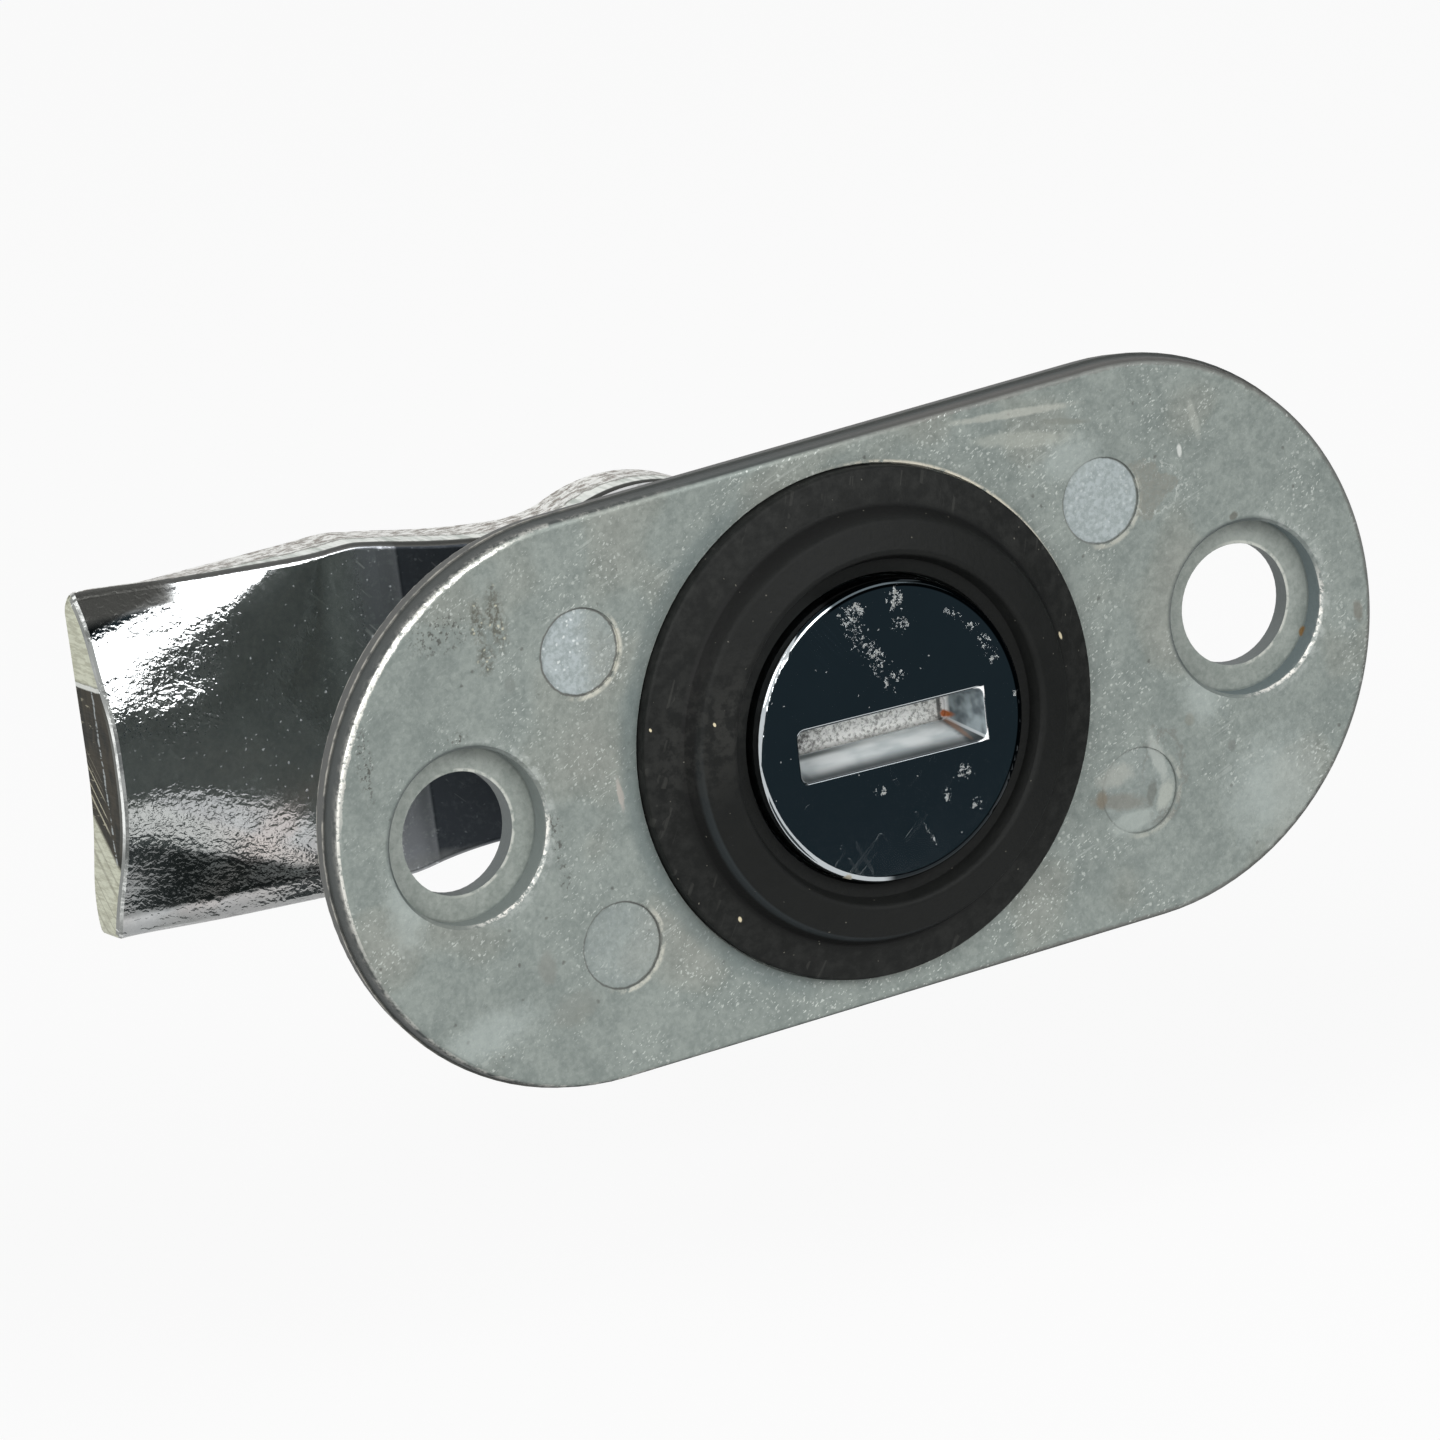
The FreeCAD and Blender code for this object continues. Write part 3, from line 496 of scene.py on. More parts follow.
    # Ejector pin marks: place, pale share, crispness, crumbs
    crystals = ramp(t, grain, 0.38, 0.62)
    crumbs = specks(t, f.place, 3.4, 0.34, 0.3)
    for centre_x, centre_z, blue, crisp, spotted in (
            (-18.97, 9.41, 0.95, 1.0, 1.0), (18.82, 9.38, 0.85, 0.6, 0.35),
            (18.9, -9.42, 0.1, 0.35, 0.1), (-18.83, -9.4, 0.2, 0.85, 0.1)):
        r = radius_from(t, f.x, f.z, centre_x, centre_z)
        wavering = f.near(r, 0.14)
        disc = both(t, ramp(t, r, MARK_RADIUS - 0.01, MARK_RADIUS - 0.11), near_front)
        if spotted == 1.0:
            disc = both(t, disc, ramp(t, f.near(f.x, 1.2), centre_x + 1.4, centre_x - 0.4, 0.25))
        pale = blend(t, crystals, (0.3, 0.345, 0.345), (0.41, 0.46, 0.47))
        f.tint(both(t, disc, blue), pale)
        f.tint(both(t, disc, crumbs), (0.74, 0.78, 0.77), 0.9 * spotted)
        line = both(t, ring(t, wavering, MARK_RADIUS, -0.13, -0.05, 0.0, 0.09), near_front)
        f.tint(line, (0.085, 0.085, 0.078), 0.75 * crisp)
        # A raised burr round the mark's lower right, drawn only as a painted highlight.
        outward = plus(t, times(t, minus(t, f.x, centre_x), 0.26), times(t, minus(t, f.z, centre_z), -0.2))
        ridge_highlight = both(t, ring(t, wavering, MARK_RADIUS, -0.01, 0.09, 0.22, 0.42),
                     ramp(t, outward, 0.1, 0.55), near_front, ramp(t, f.uneven, 0.36, 0.56))
        f.tint(ridge_highlight, (0.6, 0.59, 0.51), 0.8 * crisp)

    # Flash beside the upper right mark, a flake below it, and small stains
    flash_out = ramp(t, radius_from(t, f.x, f.z, 18.82, 9.38), 2.78, 2.9)
    flash = both(t, either(t, patch(f, (21.9, 9.3), (1.5, 1.9), 0.0, 0.14, 0.75),
                           patch(f, (23.3, 9.35), (1.15, 0.65), -8.0, 0.2, 0.9)), flash_out, front)
    f.tint(both(t, flash, level(t, crystals, 0.45, 0.85)), (0.215, 0.222, 0.195))
    # A painted highlight along the flash's rim.
    flash_rim_highlight = both(t, patch(f, (22.7, 9.25), (2.0, 1.75), -5.0, 0.1, 0.8, "Rim"), flash_out, front)
    f.tint(both(t, flash_rim_highlight, ramp(t, f.uneven, 0.45, 0.6)), (0.5, 0.53, 0.5), 0.75)
    flake = both(t, patch(f, (20.6, -9.0), (1.5, 2.9), -12.0, 0.12, 0.8, "Rim"),
                 ramp(t, f.x, 18.6, 20.2), front)
    f.tint(flake, (0.165, 0.165, 0.148), 0.6)
    for centre, size, turn, colour, share in (
            ((17.5, -9.85), (2.1, 0.5), -16.0, (0.17, 0.16, 0.135), 0.55),
            ((19.75, -9.9), (0.32, 0.8), -20.0, (0.125, 0.13, 0.115), 0.6),
            ((16.1, -9.3), (0.4, 0.55), 0.0, (0.195, 0.165, 0.12), 0.65),
            ((20.5, -7.6), (0.45, 1.7), 14.0, (0.43, 0.46, 0.43), 0.55),
            ((18.0, -11.3), (1.7, 0.65), 4.0, (0.37, 0.41, 0.385), 0.6),
            ((20.7, -10.3), (0.55, 1.0), -30.0, (0.45, 0.47, 0.42), 0.55),
            ((17.3, -8.1), (1.3, 0.7), 0.0, (0.4, 0.41, 0.37), 0.5),
            ((23.11, -5.9), (0.35, 0.4), 0.0, (0.18, 0.18, 0.15), 0.55),
            ((25.88, -8.32), (0.3, 0.36), 0.0, (0.16, 0.17, 0.16), 0.6),
            ((36.2, -2.2), (0.35, 0.65), 0.0, (0.16, 0.15, 0.125), 0.65),
            ((28.14, 6.02), (0.3, 0.22), 30.0, (0.12, 0.12, 0.1), 0.75),
            ((16.9, 15.0), (1.7, 0.2), -14.0, (0.205, 0.22, 0.195), 0.75),
            ((13.6, 16.35), (4.0, 0.26), -6.0, (0.47, 0.48, 0.43), 0.55),
            ((13.9, 14.6), (3.2, 0.5), -12.0, (0.43, 0.45, 0.4), 0.45),
            ((24.9, 11.1), (0.16, 0.4), 0.0, (0.62, 0.64, 0.61), 0.8),
            ((26.2, 12.8), (0.3, 1.2), 10.0, (0.4, 0.42, 0.38), 0.5),
            ((-17.5, -0.05), (0.2, 0.95), 4.0, (0.46, 0.41, 0.37), 0.7),
            ((-24.0, 8.6), (0.35, 0.6), 0.0, (0.17, 0.19, 0.175), 0.55),
            ((-22.7, -12.4), (1.6, 0.9), 10.0, (0.2, 0.215, 0.195), 0.5),
            ((-24.2, -9.4), (0.6, 1.0), 0.0, (0.205, 0.21, 0.19), 0.5)):
        f.tint(both(t, patch(f, centre, size, turn, 0.5, 0.7), front), colour, share)

    dirty = ramp(t, grain, 0.4, 0.6)
    for centre, size, turn in (((-24.35, 13.0), (0.6, 1.9), 6.0),
                               ((-25.65, 12.9), (0.5, 1.35), 0.0),
                               ((-25.35, 10.6), (0.55, 0.8), -20.0)):
        stain = both(t, patch(f, centre, size, turn, 0.8, 0.9), front)
        f.tint(both(t, stain, dirty), (0.085, 0.082, 0.062), 0.8)
        f.tint(both(t, stain, crumbs), (0.62, 0.6, 0.46), 0.85)
    gritty = ramp(t, grain, 0.53, 0.6)
    for centre, size in (((-22.35, -0.75), (0.5, 0.7)), ((-22.05, -4.2), (0.38, 1.0)),
                         ((-22.3, -2.4), (0.32, 0.6)), ((-28.1, 6.25), (0.75, 0.35)),
                         ((-28.3, 12.9), (1.9, 1.2)), ((-34.6, 6.2), (0.5, 2.2))):
        spot = both(t, patch(f, centre, size, 0.0, 0.7, 0.8), front, gritty)
        f.tint(spot, (0.06, 0.058, 0.05), 0.75)
    milky = either(t, patch(f, (-33.2, -3.2), (1.2, 2.6), 0.0, 0.9, 0.9),
                   patch(f, (-29.0, -12.6), (3.2, 1.2), 12.0, 0.9, 0.9),
                   patch(f, (24.3, -4.6), (1.3, 1.6), 20.0, 0.9, 0.9),
                   patch(f, (28.5, -11.6), (3.2, 2.8), 30.0, 1.0, 0.9),
                   patch(f, (17.0, 12.6), (2.0, 1.2), 0.0, 0.9, 0.9))
    f.tint(both(t, milky, front), (0.46, 0.51, 0.49), 0.38)

    rim = f.near(r_axis, 0.1)
    crust = both(t, ring(t, rim, SEAL_RIM, -0.2, -0.05, 0.06, 0.22), ramp(t, f.x, -2.0, 7.0), front,
                 ramp(t, f.uneven, 0.34, 0.5))
    f.tint(crust, (0.74, 0.7, 0.58), 0.95)
    # Painted shadow beside the seal ring on its left.
    film_and_shadow = both(t, ring(t, rim, SEAL_RIM, -0.1, 0.1, 0.6, 1.6), ramp(t, f.x, -3.0, -9.0), front)
    f.tint(film_and_shadow, (0.125, 0.158, 0.156), 0.6)
    rust = both(t, patch(f, (32.93, -3.03), (0.28, 0.36), 0.0, 0.4, 0.3), ramp(t, f.y, -1.5, -1.25))
    f.tint(rust, (0.22, 0.125, 0.035), 0.9)

    metallic = level(t, either(t, rubbed_edge_and_highlight, both(t, scratches_and_glints, 0.5)), 0.25, 0.75)
    f.set("Metallic", level(t, both(t, flank, outer), metallic, level(t, rubbed_edge_and_highlight, 0.0, 0.6)))
    rough = level(t, rubbed_edge_and_highlight, level(t, cloud, 0.42, 0.6), 0.3)
    f.set("Roughness", level(t, both(t, flank, without(t, rubbed_edge_and_highlight)), rough, 0.6))
    f.raise_by(f.uneven, 0.06)
    f.raise_by(grain, 0.022)
    return f.close()


# Moulded rubber of the seal ring

def seal_rubber():
    """Black rubber, a little greyer outside the collar, with dust, painted shade in the valley at the
    collar's foot and a painted reflection on its lower left.
    """
    f = Finish("seal_rubber")
    t = f.tree
    cloud = use(t, MOTTLE, "Value", Place=f.place, Large=0.4, Middle=0.6, Fine=0.4)
    f.colour = blend(t, cloud, (0.0052, 0.0058, 0.0055), (0.0115, 0.0124, 0.0116))
    r = radius_from(t, f.x, f.z)
    outer = ramp(t, r, 13.7, 14.3)
    bloom = both(t, outer, ramp(t, f.uneven, 0.36, 0.7))
    f.tint(bloom, (0.03, 0.031, 0.029), 0.4)
    lower_left = ramp(t, plus(t, f.x, f.z), -8.0, -18.0)
    # Painted shade in the valley at the collar's foot, and a bluish painted reflection on the collar's
    # lower left.
    valley = band(t, r, 13.1, 13.45, 13.65, 14.0)
    f.tint(valley, (0.004, 0.004, 0.004), 0.6)
    f.tint(both(t, band(t, r, 12.95, 13.1, 13.25, 13.4), lower_left), (0.045, 0.056, 0.062), 0.4)
    smear = both(t, patch(f, (-11.6, 3.0), (2.6, 4.4), -35.0, 1.0, 0.9), ramp(t, f.uneven, 0.42, 0.6))
    f.tint(smear, (0.07, 0.07, 0.064), 0.2)
    dust = specks(t, f.place, 1.7, 0.1, 0.16)
    f.tint(dust, (0.26, 0.25, 0.21), 0.65)
    for centre, size in (((13.95, 2.15), (0.1, 0.26)), ((-11.96, 3.44), (0.08, 0.13)),
                         ((-11.1, -9.6), (0.11, 0.19)), ((-15.3, 3.6), (0.07, 0.11))):
        f.tint(patch(f, centre, size, 15.0, 0.4, 0.3), (0.62, 0.55, 0.38), 0.9)
    scuff = scratches(t, f.place, 65.0, 1.1, 0.44)
    f.tint(both(t, scuff, outer), (0.08, 0.08, 0.073), 0.2)
    f.set("Roughness", level(t, cloud, 0.5, 0.68))
    f.shader.inputs["Specular IOR Level"].default_value = 0.16
    f.raise_by(noise(t, f.place, 2.6, 4.0, 0.6), 0.04)
    f.raise_by(dust, 0.02)
    return f.close()


# Chromed driver

def chromed_driver():
    """Polished chrome with flecks on its face, painted shade on its rim, and the slot's floor and walls
    with painted light and shade.
    """
    f = Finish("chromed_driver")
    t = f.tree
    haze = use(t, MOTTLE, "Value", Place=f.place, Large=0.5, Middle=0.5, Fine=0.2)
    f.colour = blend(t, haze, (0.46, 0.5, 0.52), (0.56, 0.595, 0.615))
    on_face = ramp(t, f.y, DRIVER_FRONT + 0.6, DRIVER_FRONT + 0.3)

    slot = add(t, "ShaderNodeMapping", vector_type="TEXTURE")
    put(t, slot.inputs["Vector"], f.place)
    slot.inputs["Location"].default_value = (0.0, 0.0, -SLOT_DROP)
    slot.inputs["Rotation"].default_value = (0.0, math.radians(SLOT_TURN), 0.0)
    sx, _, sz = parts_of(t, slot.outputs["Vector"])
    half_x = minus(t, calc(t, "ABSOLUTE", sx), SLOT_HALF_LENGTH)
    half_z = minus(t, calc(t, "ABSOLUTE", sz), SLOT_HALF_WIDTH)
    outside = calc(t, "MAXIMUM", half_x, half_z)
    in_slot = both(t, ramp(t, outside, 0.1, 0.02),
                   ramp(t, f.y, DRIVER_FRONT + 0.02, DRIVER_FRONT + 0.12), ramp(t, f.y, -2.3, -2.5))
    floor = both(t, in_slot, ramp(t, f.y, -3.0, -2.8))
    sides = both(t, in_slot, without(t, floor))
    plain_face = both(t, on_face, ramp(t, outside, 0.1, 0.3))

    bits = noise(t, f.place, 3.3, 4.0, 0.78)
    tiny = noise(t, f.place, 6.5, 2.0, 0.6)
    worn = 0.0
    for centre, size, turn in (((-1.7, 7.9), (1.2, 0.9), 0.0), ((-1.5, 6.4), (0.9, 1.3), 20.0),
                               ((-0.4, 4.7), (0.9, 1.6), 25.0), ((0.5, 3.2), (1.1, 0.6), 10.0),
                               ((1.3, 8.1), (0.7, 0.9), 0.0), ((1.7, 6.4), (0.9, 0.6), 0.0),
                               ((5.4, 6.1), (0.9, 0.35), -40.0), ((6.4, 5.1), (0.8, 0.4), -40.0),
                               ((7.4, 3.7), (0.6, 0.9), 25.0), ((7.7, 2.7), (0.5, 0.3), 0.0),
                               ((4.7, -3.75), (0.7, 0.6), 20.0), ((-1.4, -3.5), (0.5, 0.4), 0.0),
                               ((3.2, -4.9), (0.3, 0.5), 0.0), ((5.3, -5.9), (0.5, 0.5), 0.0),
                               ((1.6, -7.0), (0.3, 0.9), 30.0), ((8.9, 0.2), (0.25, 0.3), 0.0)):
        worn = either(t, worn, patch(f, centre, size, turn, 0.9, 0.8))
    fleck = ramp(t, plus(t, bits, times(t, minus(t, worn, 1.0), 0.22)), 0.535, 0.585)
    worn = both(t, fleck, ramp(t, worn, 0.05, 0.3), plain_face)
    freckles = both(t, specks(t, f.place, 1.5, 0.1, 0.22), plain_face)
    dull = either(t, both(t, worn, 0.9), both(t, freckles, 0.7))
    f.tint(dull, blend(t, tiny, (0.13, 0.14, 0.135), (0.36, 0.365, 0.335)))
    bloom = both(t, patch(f, (-3.0, 7.0), (2.1, 2.2), 20.0, 1.0, 0.7), plain_face)
    hairs = noise(t, stretched(t, turned(t, f.place, -55.0), (0.5, 1.0, 6.0)), 1.0)
    hairs = ramp(t, hairs, 0.5, 0.66)
    bloom = both(t, bloom, hairs)
    f.tint(bloom, (0.62, 0.7, 0.76), 0.25)
    grime = both(t, patch(f, (-4.45, -8.5), (0.28, 0.42), 0.0, 0.4, 0.4), 0.95)
    f.tint(grime, (0.36, 0.33, 0.25))

    r = radius_from(t, f.x, f.z)
    tilted = ramp(t, f.ny, -0.985, -0.93)
    head_rim = both(t, ramp(t, r, 8.98, 9.06), ramp(t, f.y, -4.9, -5.3))
    shaded = both(t, head_rim, ramp(t, plus(t, f.x, times(t, f.z, 0.1)), -3.0, -2.0))
    f.tint(shaded, (0.022, 0.027, 0.03))

    # Painted shade on the slot mouth's rounded edge, a painted highlight at its right end, and white
    # painted highlights in the right-hand corners.
    mouth = both(t, ramp(t, outside, 0.3, 0.2), ramp(t, outside, -0.12, -0.04),
                 ramp(t, f.y, -5.8, -5.95), tilted)
    right_end = ramp(t, sx, 6.2, 6.5)
    f.tint(both(t, mouth, without(t, right_end)), (0.055, 0.062, 0.066))
    end_highlight = both(t, mouth, right_end)
    f.tint(end_highlight, (0.97, 0.97, 0.97))
    corner = both(t, band(t, outside, -0.2, -0.12, 0.02, 0.09), ramp(t, sx, 5.9, 6.2),
                  ramp(t, calc(t, "ABSOLUTE", sz), 0.85, 1.15), ramp(t, f.y, -5.7, -5.9))
    f.tint(corner, (1.0, 1.0, 1.0))

    grains = noise(t, f.place, 3.6, 4.0, 0.75)
    # Painted shade darkens the slot floor toward its left end; the floor is also darker toward its lower
    # side.
    left_end_shade = ramp(t, f.near(sx, 0.9), -2.6, -5.0)
    light_floor = blend(t, ramp(t, grains, 0.34, 0.55), (0.34, 0.34, 0.32), (1.0, 1.0, 0.97))
    dark_floor = blend(t, ramp(t, grains, 0.42, 0.62), (0.1, 0.1, 0.095), (0.8, 0.8, 0.78))
    f.tint(floor, blend(t, left_end_shade, light_floor, dark_floor))
    f.tint(both(t, floor, ramp(t, sz, -0.35, -0.75)), (0.2, 0.2, 0.19), 0.5)
    cloudy = noise(t, stretched(t, f.place, (0.45, 0.8, 0.8)), 1.0)
    # Painted shade and reflections on the slot walls: dark and bluish overall; the lower wall, which faces
    # up, painted lighter and darker toward both ends, the mouth and its foot; the right end wall a cloudy
    # painted reflection.
    f.tint(sides, (0.2, 0.245, 0.265))
    lower_wall = both(t, sides, ramp(t, f.nz, 0.55, 0.8))
    lit_wall_colour = blend(t, ramp(t, cloudy, 0.3, 0.65), (0.6, 0.65, 0.66), (0.82, 0.85, 0.85))
    f.tint(lower_wall, lit_wall_colour)
    f.tint(both(t, lower_wall, ramp(t, f.near(sx, 0.3), 5.1, 5.7)), (0.115, 0.135, 0.14), 0.9)
    f.tint(both(t, lower_wall, ramp(t, sx, -5.6, -6.0)), (0.22, 0.26, 0.27), 0.5)
    f.tint(both(t, lower_wall, ramp(t, f.y, -4.5, -6.0)), (0.03, 0.036, 0.038), 0.9)
    foot = both(t, lower_wall, ramp(t, f.y, -3.75, -3.15), ramp(t, sx, 1.0, -4.0, 0.25, 0.9))
    f.tint(foot, (0.085, 0.1, 0.1))
    right_wall = both(t, sides, ramp(t, f.nx, -0.55, -0.8))
    f.tint(right_wall, blend(t, ramp(t, cloudy, 0.35, 0.62), (0.13, 0.155, 0.17), (0.36, 0.42, 0.44)))
    # Painted highlights along the crease and an upright line near the slot's right end, with a painted
    # shade stripe on the floor beside them.
    crease = both(t, in_slot, band(t, minus(t, half_x, half_z), -0.18, -0.08, 0.08, 0.18),
                  ramp(t, sx, 5.0, 5.4), ramp(t, f.nz, 0.1, 0.3))
    f.tint(crease, (0.72, 0.76, 0.77), 0.7)
    upright = both(t, in_slot, band(t, sx, 5.62, 5.72, 5.84, 5.94), ramp(t, sz, -0.8, -0.5),
                   ramp(t, f.y, -3.4, -3.1))
    f.tint(upright, (0.95, 0.95, 0.94))
    f.tint(both(t, floor, band(t, sx, 5.25, 5.35, 5.5, 5.62)), (0.09, 0.09, 0.085), 0.85)
    f.set("Specular IOR Level", level(t, sides, 0.5, 0.12))
    rust = both(t, patch(f, (5.72, -0.95), (0.22, 0.22), 0.0, 0.6, 0.35), in_slot)
    f.tint(rust, (0.5, 0.155, 0.05))
    f.tint(both(t, patch(f, (5.7, -1.5), (0.22, 0.5), 0.0, 0.8, 0.4), lower_wall),
           (0.45, 0.22, 0.12), 0.45)

    turned_part = ramp(t, f.y, -0.75, -0.5)
    rings = noise(t, stretched(t, f.place, (0.0, 6.0, 0.0)), 1.0)
    f.tint(turned_part, blend(t, rings, (0.4, 0.41, 0.41), (0.6, 0.6, 0.58)))

    dull_all = either(t, dull, grime, both(t, rust, 0.9))
    metallic = level(t, dull_all, 1.0, 0.1)
    f.set("Metallic", level(t, either(t, both(t, in_slot, 0.85), corner), metallic, 0.15))
    light_marks = either(t, scratches(t, f.place, 38.0, 1.4, 0.44),
                         scratches(t, f.place, 115.0, 1.0, 0.43))
    light_marks = both(t, light_marks, plain_face)
    roughness = level(t, both(t, light_marks, 0.3), level(t, haze, 0.035, 0.08), 0.18)
    roughness = level(t, both(t, bloom, 0.6), roughness, 0.16)
    roughness = level(t, dull_all, roughness, 0.65)
    roughness = level(t, floor, roughness, 0.4)
    roughness = level(t, sides, roughness, 0.26)
    f.set("Roughness", level(t, turned_part, roughness, 0.3))
    f.raise_by(light_marks, -0.0004)
    f.raise_by(worn, 0.012)
    f.raise_by(both(t, floor, grains), 0.14)
    f.raise_by(both(t, turned_part, rings), 0.012)
    return f.close()


# Plated sheet of the tongue

def tongue_zinc():
    """Bright sheet with its leans and dents as bump, torn rims and a dull end.

    The tints of its front follow what the photo's reflections show there.
    """
    f = Finish("bright_zinc_tongue")
    t = f.tree
    cloud = use(t, MOTTLE, "Value", Place=f.place, Large=0.45, Middle=0.45, Fine=0.6)
    f.colour = blend(t, ramp(t, cloud, 0.2, 0.8), (0.42, 0.435, 0.445), (0.58, 0.595, 0.595))
    brown = both(t, ramp(t, noise(t, f.place, 0.2, 1.0), 0.42, 0.7), ramp(t, f.z, 3.0, -5.0))
    f.tint(brown, (0.44, 0.385, 0.355), 0.35)
    # A pinkish painted reflection low on the front.
    pink = patch(f, (-26.5, -6.4), (6.5, 1.0), 35.0, 0.9, 0.7)
    to_plate = ramp(t, f.ny, 0.2, -0.2)
    f.tint(both(t, pink, to_plate), (0.66, 0.58, 0.55), 0.5)
    # Painted shade on the part behind the plate, which is also rougher, and a dark painted shade on the
    # joggle's slope.
    behind_plate_shade = both(t, ramp(t, f.x, -19.5, -16.5), to_plate)
    f.tint(behind_plate_shade, (0.25, 0.265, 0.29), 0.9)
    joggle = both(t, ramp(t, f.x, JOGGLE_START - 0.1, JOGGLE_START + 0.1), to_plate)
    f.tint(joggle, (0.05, 0.057, 0.066))

    cut = ramp(t, calc(t, "ABSOLUTE", f.ny), 0.5, 0.25)
    face = both(t, without(t, cut), to_plate)
    end = both(t, cut, ramp(t, f.nx, -0.5, -0.8))
    rim = both(t, cut, without(t, end))

    # Bump alone: the sheet leans back above a slanting line and at its corners.
    above = plus(t, minus(t, f.z, times(t, f.x, 0.36)), -18.0)
    lean = calc(t, "SMOOTH_MAX", above, 0.0, 1.6)
    f.raise_by(both(t, lean, ramp(t, f.x, -18.5, -22.0), to_plate), -0.15)
    top_lean = minus(t, minus(t, f.z, times(t, f.x, 0.278)), 18.9)
    top_lean = calc(t, "SMOOTH_MAX", top_lean, 0.0, 0.4)
    f.raise_by(both(t, top_lean, ramp(t, f.x, -29.5, -31.5), to_plate), -0.24)
    second = both(t, patch(f, (-31.3, 4.5), (2.6, 1.8), 20.0, 1.0, 0.3), ramp(t, f.z, 3.1, 5.4))
    f.raise_by(both(t, second, to_plate), -0.18)
    below = calc(t, "SMOOTH_MAX", minus(t, -9.2, f.z), 0.0, 0.5)
    f.raise_by(both(t, below, ramp(t, f.x, -19.0, -23.0), to_plate), -0.26)
    roll = calc(t, "SMOOTH_MAX", minus(t, times(t, f.z, -1.0),
                                      plus(t, times(t, f.x, 0.42), 17.4)), 0.0, 0.8)
    f.raise_by(both(t, roll, ramp(t, f.x, -30.0, -27.5), ramp(t, f.x, -18.0, -21.0), to_plate), -0.09)

    # Painted reflections on the front: a light band between two slanting lines, dark below it, and grey
    # along the bottom edge.
    below_start = ramp(t, plus(t, f.z, times(t, f.x, 0.571)), -20.6, -21.6)
    below_end = ramp(t, plus(t, f.near(f.z, 0.3), times(t, f.x, 0.385)), -17.3, -18.1)
    bright_reflection_band = both(t, face, below_start, without(t, below_end), ramp(t, f.x, -19.5, -22.5))
    f.tint(bright_reflection_band, blend(t, ramp(t, f.x, -31.0, -27.0), (0.56, 0.58, 0.56), (0.64, 0.59, 0.56)), 0.65)
    low_dark_reflection = both(t, face, below_end, ramp(t, f.near(f.z, 0.3), -9.6, -9.1),
                    ramp(t, f.x, -36.0, -31.0, 0.5))
    f.tint(low_dark_reflection, (0.04, 0.048, 0.045), 0.88)
    f.tint(both(t, face, ramp(t, f.near(f.z, 0.3), -9.5, -10.3)), (0.27, 0.28, 0.28), 0.6)

    tip = ramp(t, f.x, -21.0, -26.5)
    low = ramp(t, plus(t, f.z, times(t, ramp(t, f.x, -33.0, -22.0), 4.6)), 0.2, -1.8)
    upper = both(t, band(t, above, -2.6, -1.2, 0.6, 2.0), ramp(t, f.x, -24.0, -28.0))
    corner = both(t, ramp(t, f.z, 8.0, 9.2), ramp(t, f.x, -28.5, -30.5))
    mid = patch(f, (-31.4, 3.9), (4.0, 3.2), 30.0, 1.0, 0.5)
    dimpled = both(t, face, either(t, both(t, tip, low), upper, corner, both(t, mid, 0.8)))
    dimpled = either(t, dimpled, both(t, face, ramp(t, f.x, -19.0, -23.0), ramp(t, f.z, -8.2, -9.2)))
    # A dark painted reflection at the top corner of the tip.
    corner_dark_reflection = both(t, face, ramp(t, top_lean, 0.25, 0.55), ramp(t, f.x, -29.5, -31.0))
    f.tint(corner_dark_reflection, (0.04, 0.04, 0.037), 0.88)
    peel = use(t, PEEL, "Height", Place=f.place, Turn=(0.0, math.radians(-28.0), 0.0),
               Scale=2.9, Depth=0.036)
    f.raise_by(both(t, peel, ramp(t, dimpled, 0.0, 1.0, 0.05), face),
               ramp(t, f.z, 1.0, 3.0, 1.0, 1.5))
    f.raise_by(both(t, f.uneven, face), 0.012)

    dots = specks(t, f.place, 2.6, 0.17, 0.4)
    big_dots = specks(t, turned(t, f.place, 21.0), 0.9, 0.1, 0.5)
    clean = both(t, face, without(t, dimpled), without(t, both(t, joggle, 0.85)))
    dust = both(t, either(t, both(t, dots, 0.6), both(t, big_dots, 0.9)), clean)
    f.tint(dust, (0.62, 0.67, 0.69))
    marks = both(t, scratches(t, f.place, 130.0, 1.1, 0.4), clean)
    f.tint(marks, (0.8, 0.82, 0.82), 0.5)
    film_and_shadow = ramp(t, noise(t, f.place, 3.2, 2.0, 0.7), 0.42, 0.68)
    f.tint(both(t, film_and_shadow, clean, ramp(t, f.uneven, 0.4, 0.65)), (0.8, 0.86, 0.87), 0.16)

    thick = plus(t, f.y, ramp(t, f.x, -7.4, JOGGLE_START, 0.0, -4.0))
    shear = noise(t, stretched(t, f.place, (2.2, 0.3, 2.2)), 1.0, 3.0, 0.65)
    torn = noise(t, stretched(t, f.place, (1.3, 2.6, 1.3)), 1.0, 4.0, 0.75)
    torn_at = plus(t, thick, times(t, minus(t, torn, 0.5), 1.2))
    torn_zone = ramp(t, torn_at, 24.9, 25.2)
    smooth_cut = blend(t, ramp(t, shear, 0.3, 0.64), (0.42, 0.46, 0.42), (0.8, 0.82, 0.78))
    torn_cut = blend(t, ramp(t, torn, 0.4, 0.58), (0.24, 0.215, 0.185), (0.86, 0.86, 0.83))
    f.tint(rim, blend(t, torn_zone, smooth_cut, torn_cut))
    burnish = both(t, rim, band(t, torn_at, 24.7, 24.82, 24.95, 25.08))
    f.tint(burnish, (0.13, 0.115, 0.095), 0.75)

